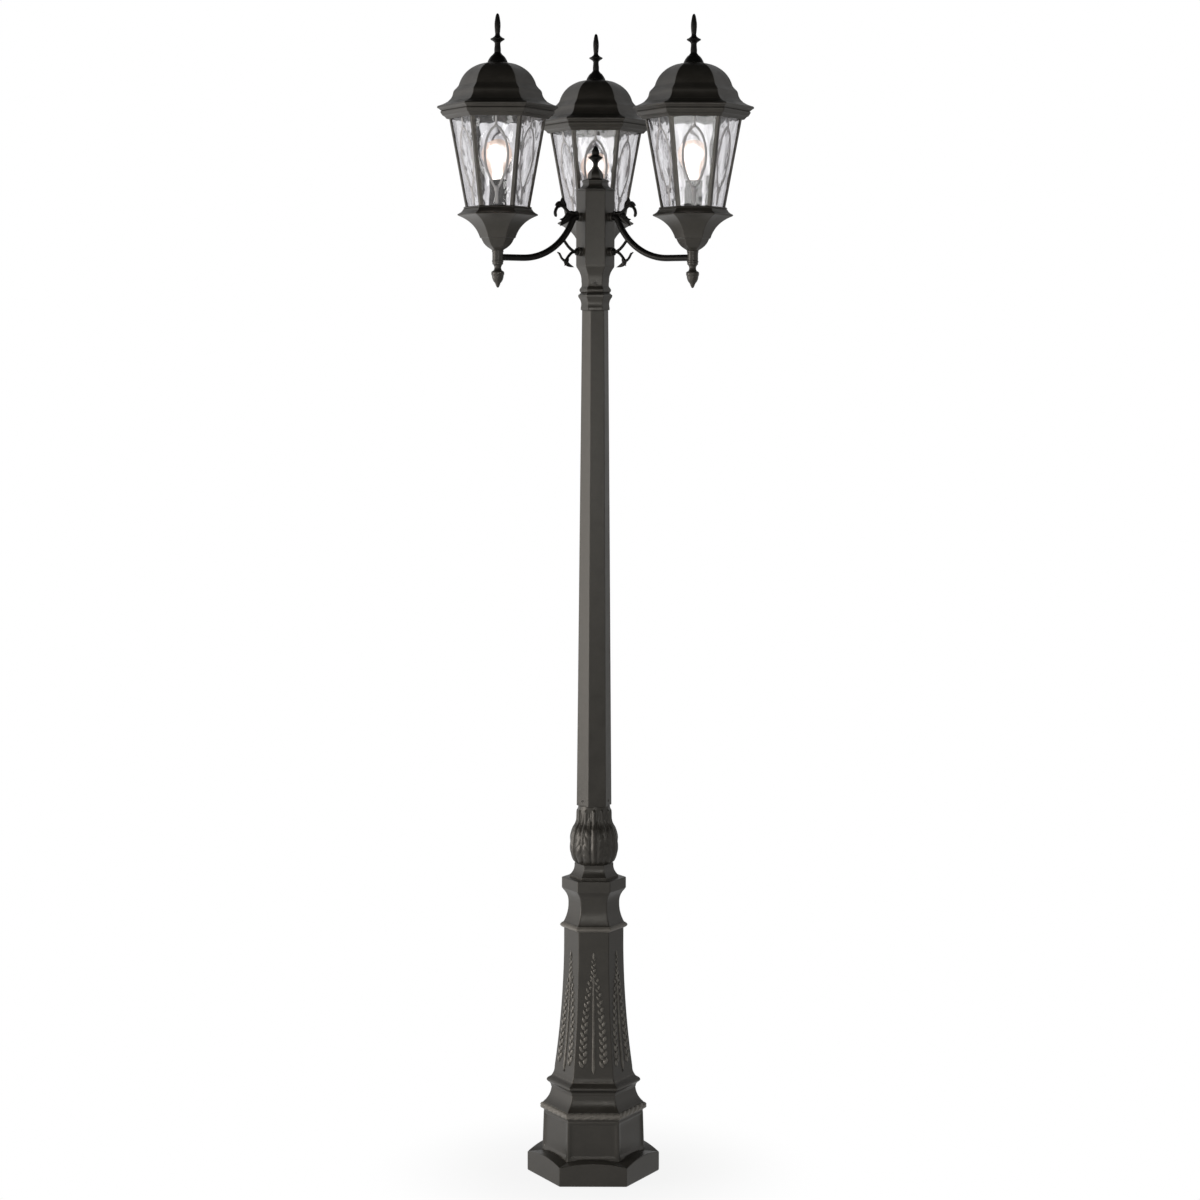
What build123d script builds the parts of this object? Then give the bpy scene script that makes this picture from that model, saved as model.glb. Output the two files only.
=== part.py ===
"""Three-head garden lamp post: a hexagonal cast aluminium post with three glazed lanterns.

Millimetres, +Z up. The origin is on the post's axis, in the plane of the ground. The front is -Y:
two lanterns stand forward left and forward right of the post, and the third stands behind it.
Every hexagon has a flat facing the front and a corner at each side, apart from the shaft.
"""
from build123d import *
from math import asin, atan2, cos, degrees, radians, sin, sqrt, tan
import os

os.makedirs("parts", exist_ok=True)

# ---------------------------------------------------------------- driving sizes
# "half" is half the width across flats. A rise is measured up from the foot of its own piece and
# a drop down from its top, unless a comment differs.

# layout
lantern_ways = {"left": 210.0, "right": 330.0, "back": 90.0}  # way of each arm, from +X
lantern_reach = 228.0       # post axis to lantern axis
slip = 0.05                 # radial play of a round end in its hole
seat_gap = 0.3              # play round loose-fitting and moving pieces
past = 1.0                  # how far a cut or a fused root runs past the face it starts from
softening = 1.2             # rise of the small arcs that ease the steps of a moulding

# base block, on the ground
flange_half = 121.5
flange_edge = 40.0          # height of the flange at its corners
flange_crown = 9.0          # rise of each side's arched top above the corners
block_foot_half = 95.3
block_head_half = 91.7
block_height = 128.0
panel_depth = 2.5           # sunk panel on each face of the block
panel_half_width = 47.0
panel_rise = 54.0
panel_drop = 4.0            # from the block's head down to the panel
rope_half = 97.6            # rope moulding round the head of the block
rope_rise = 13.0            # from the block's head up to the middle of the rope
rope_thick = 13.0
rope_swell = 4.0
scotia_half = 77.8
scotia_drop = 30.0
scotia_hollow = 4.0
bead_half = 85.4            # bead under the joint with the pedestal
bead_drop = 12.0
bead_thick = 10.0
bead_swell = 4.0
base_height = 209.0
seam_half = 76.0
cast_wall = 6.0
anchor_floor = 10.0         # floor that the anchor bolts clamp
anchor_circle = 140.0
anchor_count = 4
anchor_hole = 13.0
cable_hole = 70.0
spigot_height = 30.0        # spigot that the pedestal slips over
spigot_wall = 4.5
spigot_play = 1.5
spigot_root = 18.0          # depth inside the block at which the spigot's bore starts

# pedestal, on the base block
pedestal_height = 423.5
pedestal_foot_half = 71.9
pedestal_foot_rise = 17.0
pedestal_waist_half = 54.8
pedestal_waist_drop = 148.5
pedestal_flare = 3.6        # hollow of the flaring sides below the waist
ring_half = 62.2
ring_drop = 98.5
ring_thick = 9.0
ring_swell = 3.0
cavetto_half = 47.0
cavetto_drop = 51.8
cavetto_hollow = 4.5
plate_half = 59.0
plate_edge = 22.5           # height of the top plate's upright edge
plate_ease = 4.0            # chamfer under the top plate
plate_thick = 14.0

# set screws
screw_diameter = 6.0
screw_proud = 1.2           # head left standing out of the casting
base_screw_rise = 16.5
shaft_screw_rise = 10.0
head_screw_rise = 19.0

# leaf collar, on the pedestal
collar_height = 153.5
collar_foot_half = 44.5
collar_foot_edge = 6.0
collar_neck_half = 35.9
collar_neck_rise = 30.5
leaf_foot_radius = 38.5
leaf_belly_radius = 48.2
leaf_belly_rise = 73.5
leaf_belly_swell = 5.0
leaf_shoulder_radius = 42.5
leaf_shoulder_rise = 103.5
collar_top_radius = 35.8
collar_top_edge = 12.0
collar_wall = 7.0
nipple_radius = 21.0        # threaded end under the collar
nipple_length = 34.0
lock_nut_half = 29.0
lock_nut_thick = 9.0
shaft_spigot = 45.0         # how far the collar and the capital reach into the shaft

# shaft, on the collar
shaft_length = 1035.0
shaft_turn = 11.0           # the shaft stands turned by this much on its collar
shaft_foot_half = 31.0
shaft_head_half = 22.8
shaft_wall = 4.0
shaft_foot_play = 1.0
shaft_head_play = 0.5

# capital, on the shaft
capital_height = 36.0
capital_foot_half = 26.0
capital_tip_half = 30.8
capital_tip_drop = 6.3
capital_tip_edge = 4.0
capital_top_half = 26.5
capital_bore = 14.0
head_tenon_radius = 19.0
head_tenon_length = 32.0

# post head, on the capital
head_height = 209.0
neck_bead_half = 28.0
neck_bead_thick = 11.0
neck_half = 25.2
neck_rise = 23.0
head_half = 34.7
head_foot_rise = 54.0
head_wall = 5.0
upper_boss_drop = 54.5
boss_spacing = 71.0         # from the upper bosses down to the lower ones
boss_radius = 9.5
boss_length = 8.0
bridge_thick = 6.0          # web inside the head that holds the cap's stud
bridge_drop = 28.0

# cap and its finial, on the head
cap_eave_half = 36.5
cap_eave_thick = 5.0
cap_step_half = 22.9
cap_step_rise = 13.0        # each of these four rises starts at the step below
cap_cone_half = 14.4
cap_cone_rise = 10.5
cap_neck_half = 5.0
cap_neck_rise = 25.5
cap_wall = 3.0
cap_lip = 6.0               # how far the cap reaches down inside the head
stud_radius = 3.0
stud_nut_thick = 5.0
stud_length_above = 12.0    # above the cap, inside its finial
stud_length_below = 12.0    # below the web
cap_disc_radius = 14.2
cap_disc_rise = 14.0
cap_bud_radius = 8.6
cap_bud_rise = 11.0         # above the disc
cap_finial_height = 38.5
disc_thick = 4.0
disc_ease = 3.0             # height of the cones that lead to and from a disc

# arms
arm_drop = 86.0             # from the upper bosses down to the arm's lowest stretch
arm_radius = 6.65
arm_bore = 4.5              # radius of the wire way
arm_bend_centre = 170.0     # distance from the post axis at which the long bend is lowest
arm_end_bend = 13.0         # radius of the turn into the head
arm_inner_end = 23.0        # where the arm stops inside the head
arm_nut_radius = 10.5
arm_nut_thick = 5.0
scroll_thick = 8.0
scroll_stroke = 6.5         # width of the upper scroll's stem
brace_stroke = 5.2          # width of the lower scroll's branches
brace_pin_radius = 4.0
brace_collar_radius = 7.6
brace_screw_head = 6.5
brace_screw_thick = 3.5

# lantern's stem and drop
stem_radius = 11.8
stem_drop = 10.2            # below the arm's centre line
stem_rise = 14.3            # above the arm's centre line
stem_bore = 8.6
stem_end_wall = 3.0
drop_neck_radius = 7.1
drop_neck_drop = 10.2       # the drop's heights are below the stem's foot
drop_neck_thick = 4.0
drop_radius = 13.3
drop_belly_drop = 22.8
drop_tip_drop = 51.3
pipe_radius = 5.0           # threaded pipe through stem, bowl and lamp holder
pipe_bore = 3.4

# bowl, on the stem
bowl_height = 82.7
bowl_foot_half = 11.0
bowl_step_half = 28.8
bowl_step_rise = 22.7
bowl_lip = 2.4              # small step between the bowl's cup and its flare
bowl_rim_half = 70.7
bowl_rim_rise = 69.7
bowl_rim_edge = 2.0
bowl_hollow = 7.0
bowl_wall = 3.0

# glazed cage, on the bowl
cage_foot_half = 60.0
cage_deck = 4.0
cage_wall = 3.0
pane_foot_half = 57.0       # glazed sides, at the deck
pane_head_half = 85.2       # glazed sides, under the top rail
pane_rise = 177.8           # from the deck to the top rail
bar_width = 5.0             # how far each corner bar laps a side
rail_half = 100.1
rail_height = 13.2
rail_edge = 3.0
glass_thick = 2.5
pane_play = 0.25

# roof, on the cage's rail
eave_half = 106.1
eave_rise = 6.5
eave_edge = 3.0
drip_half = 90.0
drip_rise = 18.5
cove_half = 74.4
cove_rise = 38.7
cove_hollow = 3.2
dome_half = 67.8
dome_foot_rise = 3.3        # above the cove
dome_height = 50.8
dome_head_half = 29.7
dome_swell = 8.2            # rise of the dome's arc above its chord
roof_flat_half = 21.0
roof_crown_rise = 3.7       # above the dome
roof_wall = 3.5
locating_lip = 7.0          # how far the roof's lip reaches down inside the rail

# roof finial, heights above the roof's flat
cone_radius = 20.0
cone_edge = 2.0
cone_rise = 19.5
baluster_radius = 6.4
baluster_waist = 4.8
baluster_rise = 10.0        # from the cone to the baluster's waist
finial_disc_radius = 14.0
finial_disc_rise = 47.0
finial_neck_radius = 3.5
finial_neck_rise = 10.5     # above the disc
spear_radius = 6.2
spear_belly_rise = 15.0     # above the neck
spear_tip_rise = 26.0       # above the belly
finial_tail_radius = 3.0
finial_tail = 8.0

# lamp holder and bulb, on the deck
sleeve_radius = 18.0
sleeve_wall = 1.5
sleeve_height = 54.0
holder_radius = 16.2
holder_height = 52.0
holder_floor = 16.0
cap_radius = 13.0           # bulb's screw cap
cap_length = 26.0
cap_shell = 0.6
contact_radius = 4.0
glass_root = 17.0           # how deep the glass sits in the screw cap
glass_neck_radius = 12.0
globe_radius = 30.0
bulb_length = 84.0          # glass above the screw cap
glass_shell = 1.0
bulb_neck_length = 16.0

# ---------------------------------------------------------------- derived places

TAN30 = tan(radians(30))
sides = range(6)
alternate_sides = (90, 210, 330)    # ways of every second flat
other_sides = (270, 30, 150)        # ways of the flats between them

rope_height = block_height + rope_rise
scotia_height = base_height - scotia_drop
bead_height = base_height - bead_drop
pedestal_top = base_height + pedestal_height
pedestal_foot_height = base_height + pedestal_foot_rise
pedestal_waist_height = pedestal_top - pedestal_waist_drop
ring_height = pedestal_top - ring_drop
cavetto_height = pedestal_top - cavetto_drop
collar_top = pedestal_top + collar_height
shaft_top = collar_top + shaft_length
capital_top = shaft_top + capital_height
capital_tip_height = capital_top - capital_tip_drop
head_top = capital_top + head_height
upper_boss_height = head_top - upper_boss_drop
lower_boss_height = upper_boss_height - boss_spacing
arm_height = upper_boss_height - arm_drop
stem_foot = arm_height - stem_drop
stem_head = arm_height + stem_rise
cage_foot = stem_head + bowl_height
deck = cage_foot + cage_deck
pane_head = deck + pane_rise
rail_top = pane_head + rail_height


# ---------------------------------------------------------------- makers

def side_outline(stations):
    """Half an outline, from the axis round the stations and back: a station is a distance from
    the axis, a height, and the outward rise of the arc that leads up to it from the one below."""
    Line((0, stations[0][1]), stations[0][:2])
    for (near, low, _), (far, high, rise) in zip(stations, stations[1:]):
        if rise:
            SagittaArc((near, low), (far, high), -rise)
        else:
            Line((near, low), (far, high))
    Polyline(stations[-1][:2], (0, stations[-1][1]), (0, stations[0][1]))


def across_flats(way):
    """Upright plane through the axis, its own X pointing square to the flat that faces that way."""
    return Plane((0, 0, 0), x_dir=(cos(radians(way)), sin(radians(way)), 0),
                 z_dir=(sin(radians(way)), -cos(radians(way)), 0))


def hexagonal(stations, turn=0.0):
    """A moulding with a hexagonal plan: three bars of its full outline cross at 60 degrees, and
    what they share has six mitred corners. Stations give half widths across flats."""
    reach = 1.5 * max(half for half, _, _ in stations)
    with BuildPart() as moulding:
        for way, mode in ((90, Mode.ADD), (30, Mode.INTERSECT), (150, Mode.INTERSECT)):
            with BuildSketch(across_flats(way + turn)):
                with BuildLine():
                    side_outline(stations)
                make_face()
                mirror(about=Plane.YZ)
            extrude(amount=reach, both=True, mode=mode)
    return moulding.part


def turned(stations):
    """A lathe-turned solid on the Z axis. Stations give radii."""
    with BuildPart() as lathe_work:
        with BuildSketch(Plane.XZ):
            with BuildLine():
                side_outline(stations)
            make_face()
        revolve(axis=Axis.Z)
    return lathe_work.part


def prism(half, low, high, turn=0.0):
    """A plain hexagonal block."""
    return hexagonal([(half, low, 0), (half, high, 0)], turn)


def rod(radius, low, high):
    """A plain round bar on the Z axis."""
    return turned([(radius, low, 0), (radius, high, 0)])


def inset(stations, wall):
    """The same stations, nearer the axis by a wall."""
    return [(near - wall, height, rise) for near, height, rise in stations]


def half_between(low, high, height):
    """Distance from the axis at a height on the straight side between two stations."""
    share = (height - low[1]) / (high[1] - low[1])
    return low[0] + share * (high[0] - low[0])


def radial_rod(radius, near, far, height, way):
    """A round bar that lies across the axis, from one distance to another along a way."""
    face = Plane((near * cos(radians(way)), near * sin(radians(way)), height),
                 z_dir=(cos(radians(way)), sin(radians(way)), 0))
    with BuildPart() as bar:
        with BuildSketch(face):
            Circle(radius)
        extrude(amount=far - near)
    return bar.part


def keep(piece, name):
    """Give a finished piece its name and write it."""
    piece.label = name
    export_step(piece, f"parts/{name}.step")
    box = piece.bounding_box()
    print(f"{name:22s} {len(piece.solids())} solids  z {box.min.Z:8.1f} to {box.max.Z:8.1f}")


def lantern_place(way):
    """Where the axis of the lantern that stands that way comes down on the ground."""
    return Location((lantern_reach * cos(radians(way)), lantern_reach * sin(radians(way)), 0))


def keep_at_lanterns(piece, name):
    """Write one copy of a lantern's piece for each lantern. It is drawn with the lantern's axis
    on the origin's."""
    for side, way in lantern_ways.items():
        keep(lantern_place(way) * copy_of(piece), f"{name}_{side}")


def copy_of(piece):
    """A loose copy that can be placed on its own."""
    with BuildPart() as twin:
        add(piece)
    return twin.part


# ---------------------------------------------------------------- base block

flange_side = 2 * flange_half * TAN30
spigot_half = pedestal_foot_half - cast_wall - spigot_play
spigot_bore_half = spigot_half - spigot_wall
hollow_half = block_head_half - cast_wall - panel_depth
pedestal_cavity = [
    (pedestal_foot_half - cast_wall, base_height - past, 0),
    (pedestal_foot_half - cast_wall, pedestal_foot_height, 0),
    (pedestal_waist_half - cast_wall, pedestal_waist_height, -pedestal_flare),
    (cavetto_half - cast_wall, ring_height + 2 * ring_thick, 0),
    (cavetto_half - cast_wall, pedestal_top - plate_thick, 0),
]
base_outline = [
    (block_foot_half, 0, 0),
    (block_head_half, block_height, 0),
    (rope_half - rope_swell, rope_height - rope_thick / 2, 0),
    (rope_half - rope_swell, rope_height + rope_thick / 2, rope_swell),
    (scotia_half, scotia_height, -scotia_hollow),
    (bead_half - bead_swell, bead_height - bead_thick / 2, -softening),
    (bead_half - bead_swell, bead_height + bead_thick / 2, bead_swell),
    (seam_half, base_height, 0),
]

with BuildPart() as spigot:  # follows the inside of the pedestal that slips over it
    add(hexagonal(inset(pedestal_cavity, spigot_play)))
    add(hexagonal(inset(pedestal_cavity, spigot_play + spigot_wall)), mode=Mode.SUBTRACT)
    add(prism(seam_half, base_height - past, base_height + spigot_height), mode=Mode.INTERSECT)

with BuildPart() as base_block:
    for way in alternate_sides:  # each bar makes two opposite arched sides of the flange
        with BuildSketch(across_flats(way + 90)):
            with BuildLine():
                Polyline((-flange_side / 2, flange_edge), (-flange_side / 2, 0),
                         (flange_side / 2, 0), (flange_side / 2, flange_edge))
                SagittaArc((flange_side / 2, flange_edge), (-flange_side / 2, flange_edge),
                           -flange_crown)
            make_face()
        extrude(amount=flange_half, both=True)
    add(hexagonal(base_outline))
    # the hollow inside, over the floor that the anchor bolts clamp
    add(hexagonal([
        (hollow_half, anchor_floor, 0),
        (hollow_half, block_height, 0),
        (scotia_half - cast_wall - scotia_hollow, scotia_height - cast_wall, 0),
        (spigot_bore_half, base_height - spigot_root, 0),
        (spigot_bore_half, base_height + past, 0),
    ]), mode=Mode.SUBTRACT)
    add(spigot.part)
    with Locations((0, 0, anchor_floor)):
        Hole(cable_hole / 2, depth=anchor_floor)
        with PolarLocations(anchor_circle / 2, anchor_count, start_angle=45):
            Hole(anchor_hole / 2, depth=anchor_floor)
    # sunk panels, following the lean of the block's faces
    lean = atan2(block_foot_half - block_head_half, block_height)
    panel_height = block_height - panel_drop - panel_rise
    foot = half_between((block_foot_half, 0), (block_head_half, block_height), panel_rise)
    for side in sides:
        way = radians(30 + 60 * side)
        ground = Plane((foot * cos(way), foot * sin(way), panel_rise),
                       x_dir=(-sin(way), cos(way), 0),
                       z_dir=(cos(way) * cos(lean), sin(way) * cos(lean), sin(lean)))
        with BuildSketch(ground):
            with Locations((0, panel_height / 2)):
                Rectangle(2 * panel_half_width, panel_height)
        extrude(amount=-panel_depth, mode=Mode.SUBTRACT)

keep(base_block.part, "base_block")

# ---------------------------------------------------------------- pedestal

pedestal_outline = [
    (seam_half, base_height, 0),
    (pedestal_foot_half, pedestal_foot_height, -softening),
    (pedestal_waist_half, pedestal_waist_height, -pedestal_flare),
    (pedestal_waist_half, ring_height - ring_thick, 0),
    (ring_half - ring_swell, ring_height - ring_thick / 2, 0),
    (ring_half - ring_swell, ring_height + ring_thick / 2, ring_swell),
    (cavetto_half, cavetto_height, -cavetto_hollow),
    (plate_half - plate_ease, pedestal_top - plate_edge - plate_ease, -ring_swell),
    (plate_half, pedestal_top - plate_edge, 0),
    (plate_half, pedestal_top, 0),
]
cavity_top = pedestal_top - plate_thick
base_screw_height = base_height + base_screw_rise
base_screw_tip = spigot_half + seat_gap
base_screw_face = half_between((seam_half, base_height),
                               (pedestal_foot_half, pedestal_foot_height), base_screw_height)

with BuildPart() as pedestal:
    add(hexagonal(pedestal_outline))
    add(hexagonal(pedestal_cavity), mode=Mode.SUBTRACT)
    with Locations((0, 0, pedestal_top)):
        Hole(nipple_radius + seat_gap, depth=plate_thick)
    for way in alternate_sides:
        add(radial_rod(screw_diameter / 2 + slip, base_screw_tip - 5 * past,
                       base_screw_face + 5 * past, base_screw_height, way), mode=Mode.SUBTRACT)
keep(pedestal.part, "pedestal")

with BuildPart() as base_set_screws:
    for way in alternate_sides:
        add(radial_rod(screw_diameter / 2, base_screw_tip, base_screw_face + screw_proud,
                       base_screw_height, way))
keep(base_set_screws.part, "base_set_screws")

# ---------------------------------------------------------------- leaf collar

collar_neck_height = pedestal_top + collar_neck_rise
leaf_belly_height = pedestal_top + leaf_belly_rise
shaft_foot_bore = shaft_foot_half - shaft_wall - shaft_foot_play
with BuildPart() as collar:
    add(hexagonal([
        (collar_foot_half, pedestal_top, 0),
        (collar_foot_half - past, pedestal_top + collar_foot_edge, 0),
        (collar_neck_half, collar_neck_height, -2 * softening),
    ]))
    add(turned([
        (leaf_foot_radius, collar_neck_height, 0),
        (leaf_belly_radius, leaf_belly_height, leaf_belly_swell),
        (leaf_shoulder_radius, pedestal_top + leaf_shoulder_rise, leaf_belly_swell / 2),
        (collar_top_radius, collar_top - collar_top_edge, -leaf_belly_swell / 2),
        (collar_top_radius, collar_top, 0),
    ]))
    add(rod(nipple_radius, pedestal_top - nipple_length, pedestal_top + past))
    add(rod(shaft_foot_bore, collar_top - past, collar_top + shaft_spigot))
    add(turned([
        (nipple_radius - collar_wall, pedestal_top - nipple_length - past, 0),
        (nipple_radius - collar_wall, pedestal_top, 0),
        (leaf_foot_radius - 2 * collar_wall, collar_neck_height, 0),
        (leaf_belly_radius - 1.5 * collar_wall, leaf_belly_height, 0),
        (shaft_foot_bore - collar_wall, collar_top - 2 * collar_top_edge, 0),
        (shaft_foot_bore - collar_wall, collar_top + shaft_spigot + past, 0),
    ]), mode=Mode.SUBTRACT)
keep(collar.part, "leaf_collar")

with BuildPart() as lock_nut:
    add(prism(lock_nut_half, cavity_top - lock_nut_thick, cavity_top))
    add(rod(nipple_radius + slip, cavity_top - lock_nut_thick - past, cavity_top + past),
        mode=Mode.SUBTRACT)
keep(lock_nut.part, "collar_lock_nut")

# ---------------------------------------------------------------- shaft

shaft_side = ((shaft_foot_half, collar_top), (shaft_head_half, shaft_top))
shaft_ways = [way + shaft_turn for way in alternate_sides]
shaft_screw_height = collar_top + shaft_screw_rise
shaft_screw_face = half_between(*shaft_side, shaft_screw_height)

with BuildPart() as shaft:
    add(hexagonal([(*shaft_side[0], 0), (*shaft_side[1], 0)], shaft_turn))
    add(hexagonal([(shaft_foot_half - shaft_wall, collar_top - past, 0),
                   (shaft_head_half - shaft_wall, shaft_top + past, 0)], shaft_turn),
        mode=Mode.SUBTRACT)
    for way in shaft_ways:
        add(radial_rod(screw_diameter / 2 + slip, shaft_foot_bore - 2 * past,
                       shaft_screw_face + 5 * past, shaft_screw_height, way), mode=Mode.SUBTRACT)
keep(shaft.part, "shaft")

with BuildPart() as shaft_set_screws:
    for way in shaft_ways:
        add(radial_rod(screw_diameter / 2, shaft_foot_bore + seat_gap,
                       shaft_screw_face + screw_proud, shaft_screw_height, way))
keep(shaft_set_screws.part, "shaft_set_screws")

# ---------------------------------------------------------------- capital

shaft_head_bore = shaft_head_half - shaft_wall - shaft_head_play
with BuildPart() as capital:
    add(hexagonal([
        (capital_foot_half, shaft_top, 0),
        (capital_tip_half, capital_tip_height - capital_tip_edge / 2, -2 * softening),
        (capital_tip_half, capital_tip_height + capital_tip_edge / 2, softening),
        (capital_top_half, capital_top, 0),
    ]))
    add(rod(shaft_head_bore, shaft_top - shaft_spigot, shaft_top + past))
    add(rod(head_tenon_radius, capital_top - past, capital_top + head_tenon_length))
    add(rod(capital_bore, shaft_top - shaft_spigot - past,
            capital_top + head_tenon_length + past), mode=Mode.SUBTRACT)
keep(capital.part, "capital")

# ---------------------------------------------------------------- post head

head_foot = capital_top + head_foot_rise
head_outline = [
    (neck_bead_half - 2 * softening, capital_top, 0),
    (neck_bead_half - 2 * softening, capital_top + neck_bead_thick, 2 * softening),
    (neck_half, capital_top + neck_rise, -softening),
    (head_half, head_foot, -2 * softening),
    (head_half, head_top, 0),
]
head_cavity_half = head_half - head_wall
head_cavity = [
    (neck_half, head_foot - head_wall, 0),
    (head_cavity_half, head_foot + 2 * head_wall, 0),
    (head_cavity_half, head_top + past, 0),
]
head_screw_height = capital_top + head_screw_rise
bridge_height = head_top - bridge_drop
boss_end = head_half + boss_length

with BuildPart() as post_head:
    add(hexagonal(head_outline))
    add(hexagonal(head_cavity), mode=Mode.SUBTRACT)
    add(rod(head_tenon_radius + slip, capital_top - past, head_foot), mode=Mode.SUBTRACT)
    for way in lantern_ways.values():
        for height in (upper_boss_height, lower_boss_height):
            add(radial_rod(boss_radius, head_half - 2 * past, boss_end, height, way))
        add(radial_rod(arm_radius + slip, arm_inner_end, boss_end + past, upper_boss_height, way),
            mode=Mode.SUBTRACT)
        add(radial_rod(brace_pin_radius + slip, arm_inner_end, boss_end + past,
                       lower_boss_height, way), mode=Mode.SUBTRACT)
    # the web that the cap's stud is nutted to, with ways for wires beside it
    with BuildSketch(Plane.XY.offset(bridge_height)):
        Rectangle(2 * head_half, 4 * stud_radius)
        RegularPolygon(head_half - past, 6, major_radius=False, rotation=0, mode=Mode.INTERSECT)
    extrude(amount=bridge_thick)
    add(rod(stud_radius + slip, bridge_height - past, bridge_height + bridge_thick + past),
        mode=Mode.SUBTRACT)
    for way in other_sides:
        add(radial_rod(screw_diameter / 2 + slip, head_tenon_radius - past, head_half,
                       head_screw_height, way), mode=Mode.SUBTRACT)
keep(post_head.part, "post_head")

with BuildPart() as head_set_screws:
    for way in other_sides:
        add(radial_rod(screw_diameter / 2, head_tenon_radius + seat_gap,
                       neck_half + 2 * screw_proud, head_screw_height, way))
keep(head_set_screws.part, "head_set_screws")

# ---------------------------------------------------------------- cap, its stud and finial

cap_levels = [head_top, head_top + cap_eave_thick]
for rise in (cap_step_rise, cap_cone_rise, cap_neck_rise):
    cap_levels.append(cap_levels[-1] + rise)
cap_top = cap_levels[-1]
cap_lip_half = head_cavity_half - seat_gap
with BuildPart() as head_cap:
    add(hexagonal([
        (cap_eave_half, cap_levels[0], 0),
        (cap_eave_half, cap_levels[1], softening),
        (cap_step_half, cap_levels[2], -2 * softening),
        (cap_cone_half, cap_levels[3], softening),
        (cap_neck_half, cap_top, -2 * softening),
    ]))
    add(prism(cap_lip_half, head_top - cap_lip, head_top + past))
    add(hexagonal([
        (cap_lip_half - cap_wall, head_top - cap_lip - past, 0),
        (cap_lip_half - cap_wall, head_top + 2 * past, 0),
        (cap_step_half - cap_wall, cap_levels[2] - cap_wall, 0),
    ]), mode=Mode.SUBTRACT)
    add(rod(stud_radius + slip, head_top, cap_top + past), mode=Mode.SUBTRACT)
keep(head_cap.part, "head_cap")

stud_foot = bridge_height - stud_length_below
stud_head = cap_top + stud_length_above
with BuildPart() as cap_stud:
    add(rod(stud_radius, stud_foot, stud_head))
    add(prism(2 * stud_radius, bridge_height - stud_nut_thick, bridge_height))
keep(cap_stud.part, "cap_stud")

disc_height = cap_top + cap_disc_rise
with BuildPart() as cap_finial:
    add(turned([
        (cap_neck_half, cap_top, 0),
        (cap_neck_half + softening, disc_height - disc_thick / 2 - disc_ease, -softening),
        (cap_disc_radius, disc_height - disc_thick / 2, 0),
        (cap_disc_radius, disc_height + disc_thick / 2, softening),
        (cap_neck_half + softening, disc_height + disc_thick / 2 + disc_ease, 0),
        (cap_bud_radius, disc_height + cap_bud_rise, softening),
        (slip, cap_top + cap_finial_height, softening),
    ]))
    add(rod(stud_radius + slip, cap_top - past, stud_head + seat_gap), mode=Mode.SUBTRACT)
keep(cap_finial.part, "cap_finial")

# ---------------------------------------------------------------- arms
# Drawn in the upright plane that holds the post's axis and a lantern's: (distance, height).

# The short turn starts at the boss's end. The long bend is the arc that starts level at the
# lantern's end and runs into the short turn: its centre is as far from the turn's centre as the
# two radii together.
turn_centre = (boss_end, upper_boss_height - arm_end_bend)
turn_rise = turn_centre[1] - arm_height
turn_run = arm_bend_centre - turn_centre[0]
arm_sweep = (turn_run ** 2 + turn_rise ** 2 - arm_end_bend ** 2) / (2 * (arm_end_bend + turn_rise))
bend_centre = (arm_bend_centre, arm_height + arm_sweep)
turn_angle = degrees(asin((arm_sweep - turn_rise) / (arm_sweep + arm_end_bend)))
arm_outer_end = lantern_reach - stem_bore - seat_gap


def arm_plane(way, offset=0.0):
    """Upright plane of an arm, its own X pointing from the post to the lantern."""
    side_way = radians(way - 90)
    return Plane((offset * cos(side_way), offset * sin(side_way), 0),
                 x_dir=(cos(radians(way)), sin(radians(way)), 0),
                 z_dir=(cos(side_way), sin(side_way), 0))


def arm_bar(way, radius):
    """The arm's bent bar: out of the head, over a short turn, round the long bend, to the stem."""
    with BuildPart() as bar:
        with BuildLine(arm_plane(way)) as path:
            Line((arm_inner_end, upper_boss_height), (turn_centre[0], upper_boss_height))
            CenterArc(turn_centre, arm_end_bend, turn_angle, 90 - turn_angle)
            CenterArc(bend_centre, arm_sweep, 180 + turn_angle, 90 - turn_angle)
            Line((arm_bend_centre, arm_height), (arm_outer_end, arm_height))
        with BuildSketch(Plane(path.line @ 0, z_dir=path.line % 0)):
            Circle(radius)
        sweep(path=path.line)
    return bar.part


def arc_stroke(points, width):
    """A bar of one width that follows arcs through three points each, with rounded ends."""
    with BuildLine() as spine:
        for start, middle, end in points:
            ThreePointArc(start, middle, end)
    trace(spine.line, line_width=width)
    ends = [points[0][0], points[-1][2]]
    with Locations(*ends):
        Circle(width / 2)


def leaf(points):
    """A pointed leaf blade: curved sides between tips, each side an arc through its middle."""
    with BuildLine() as edge:
        for start, middle, end in points:
            ThreePointArc(start, middle, end)
    make_face(edge.edges())


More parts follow.
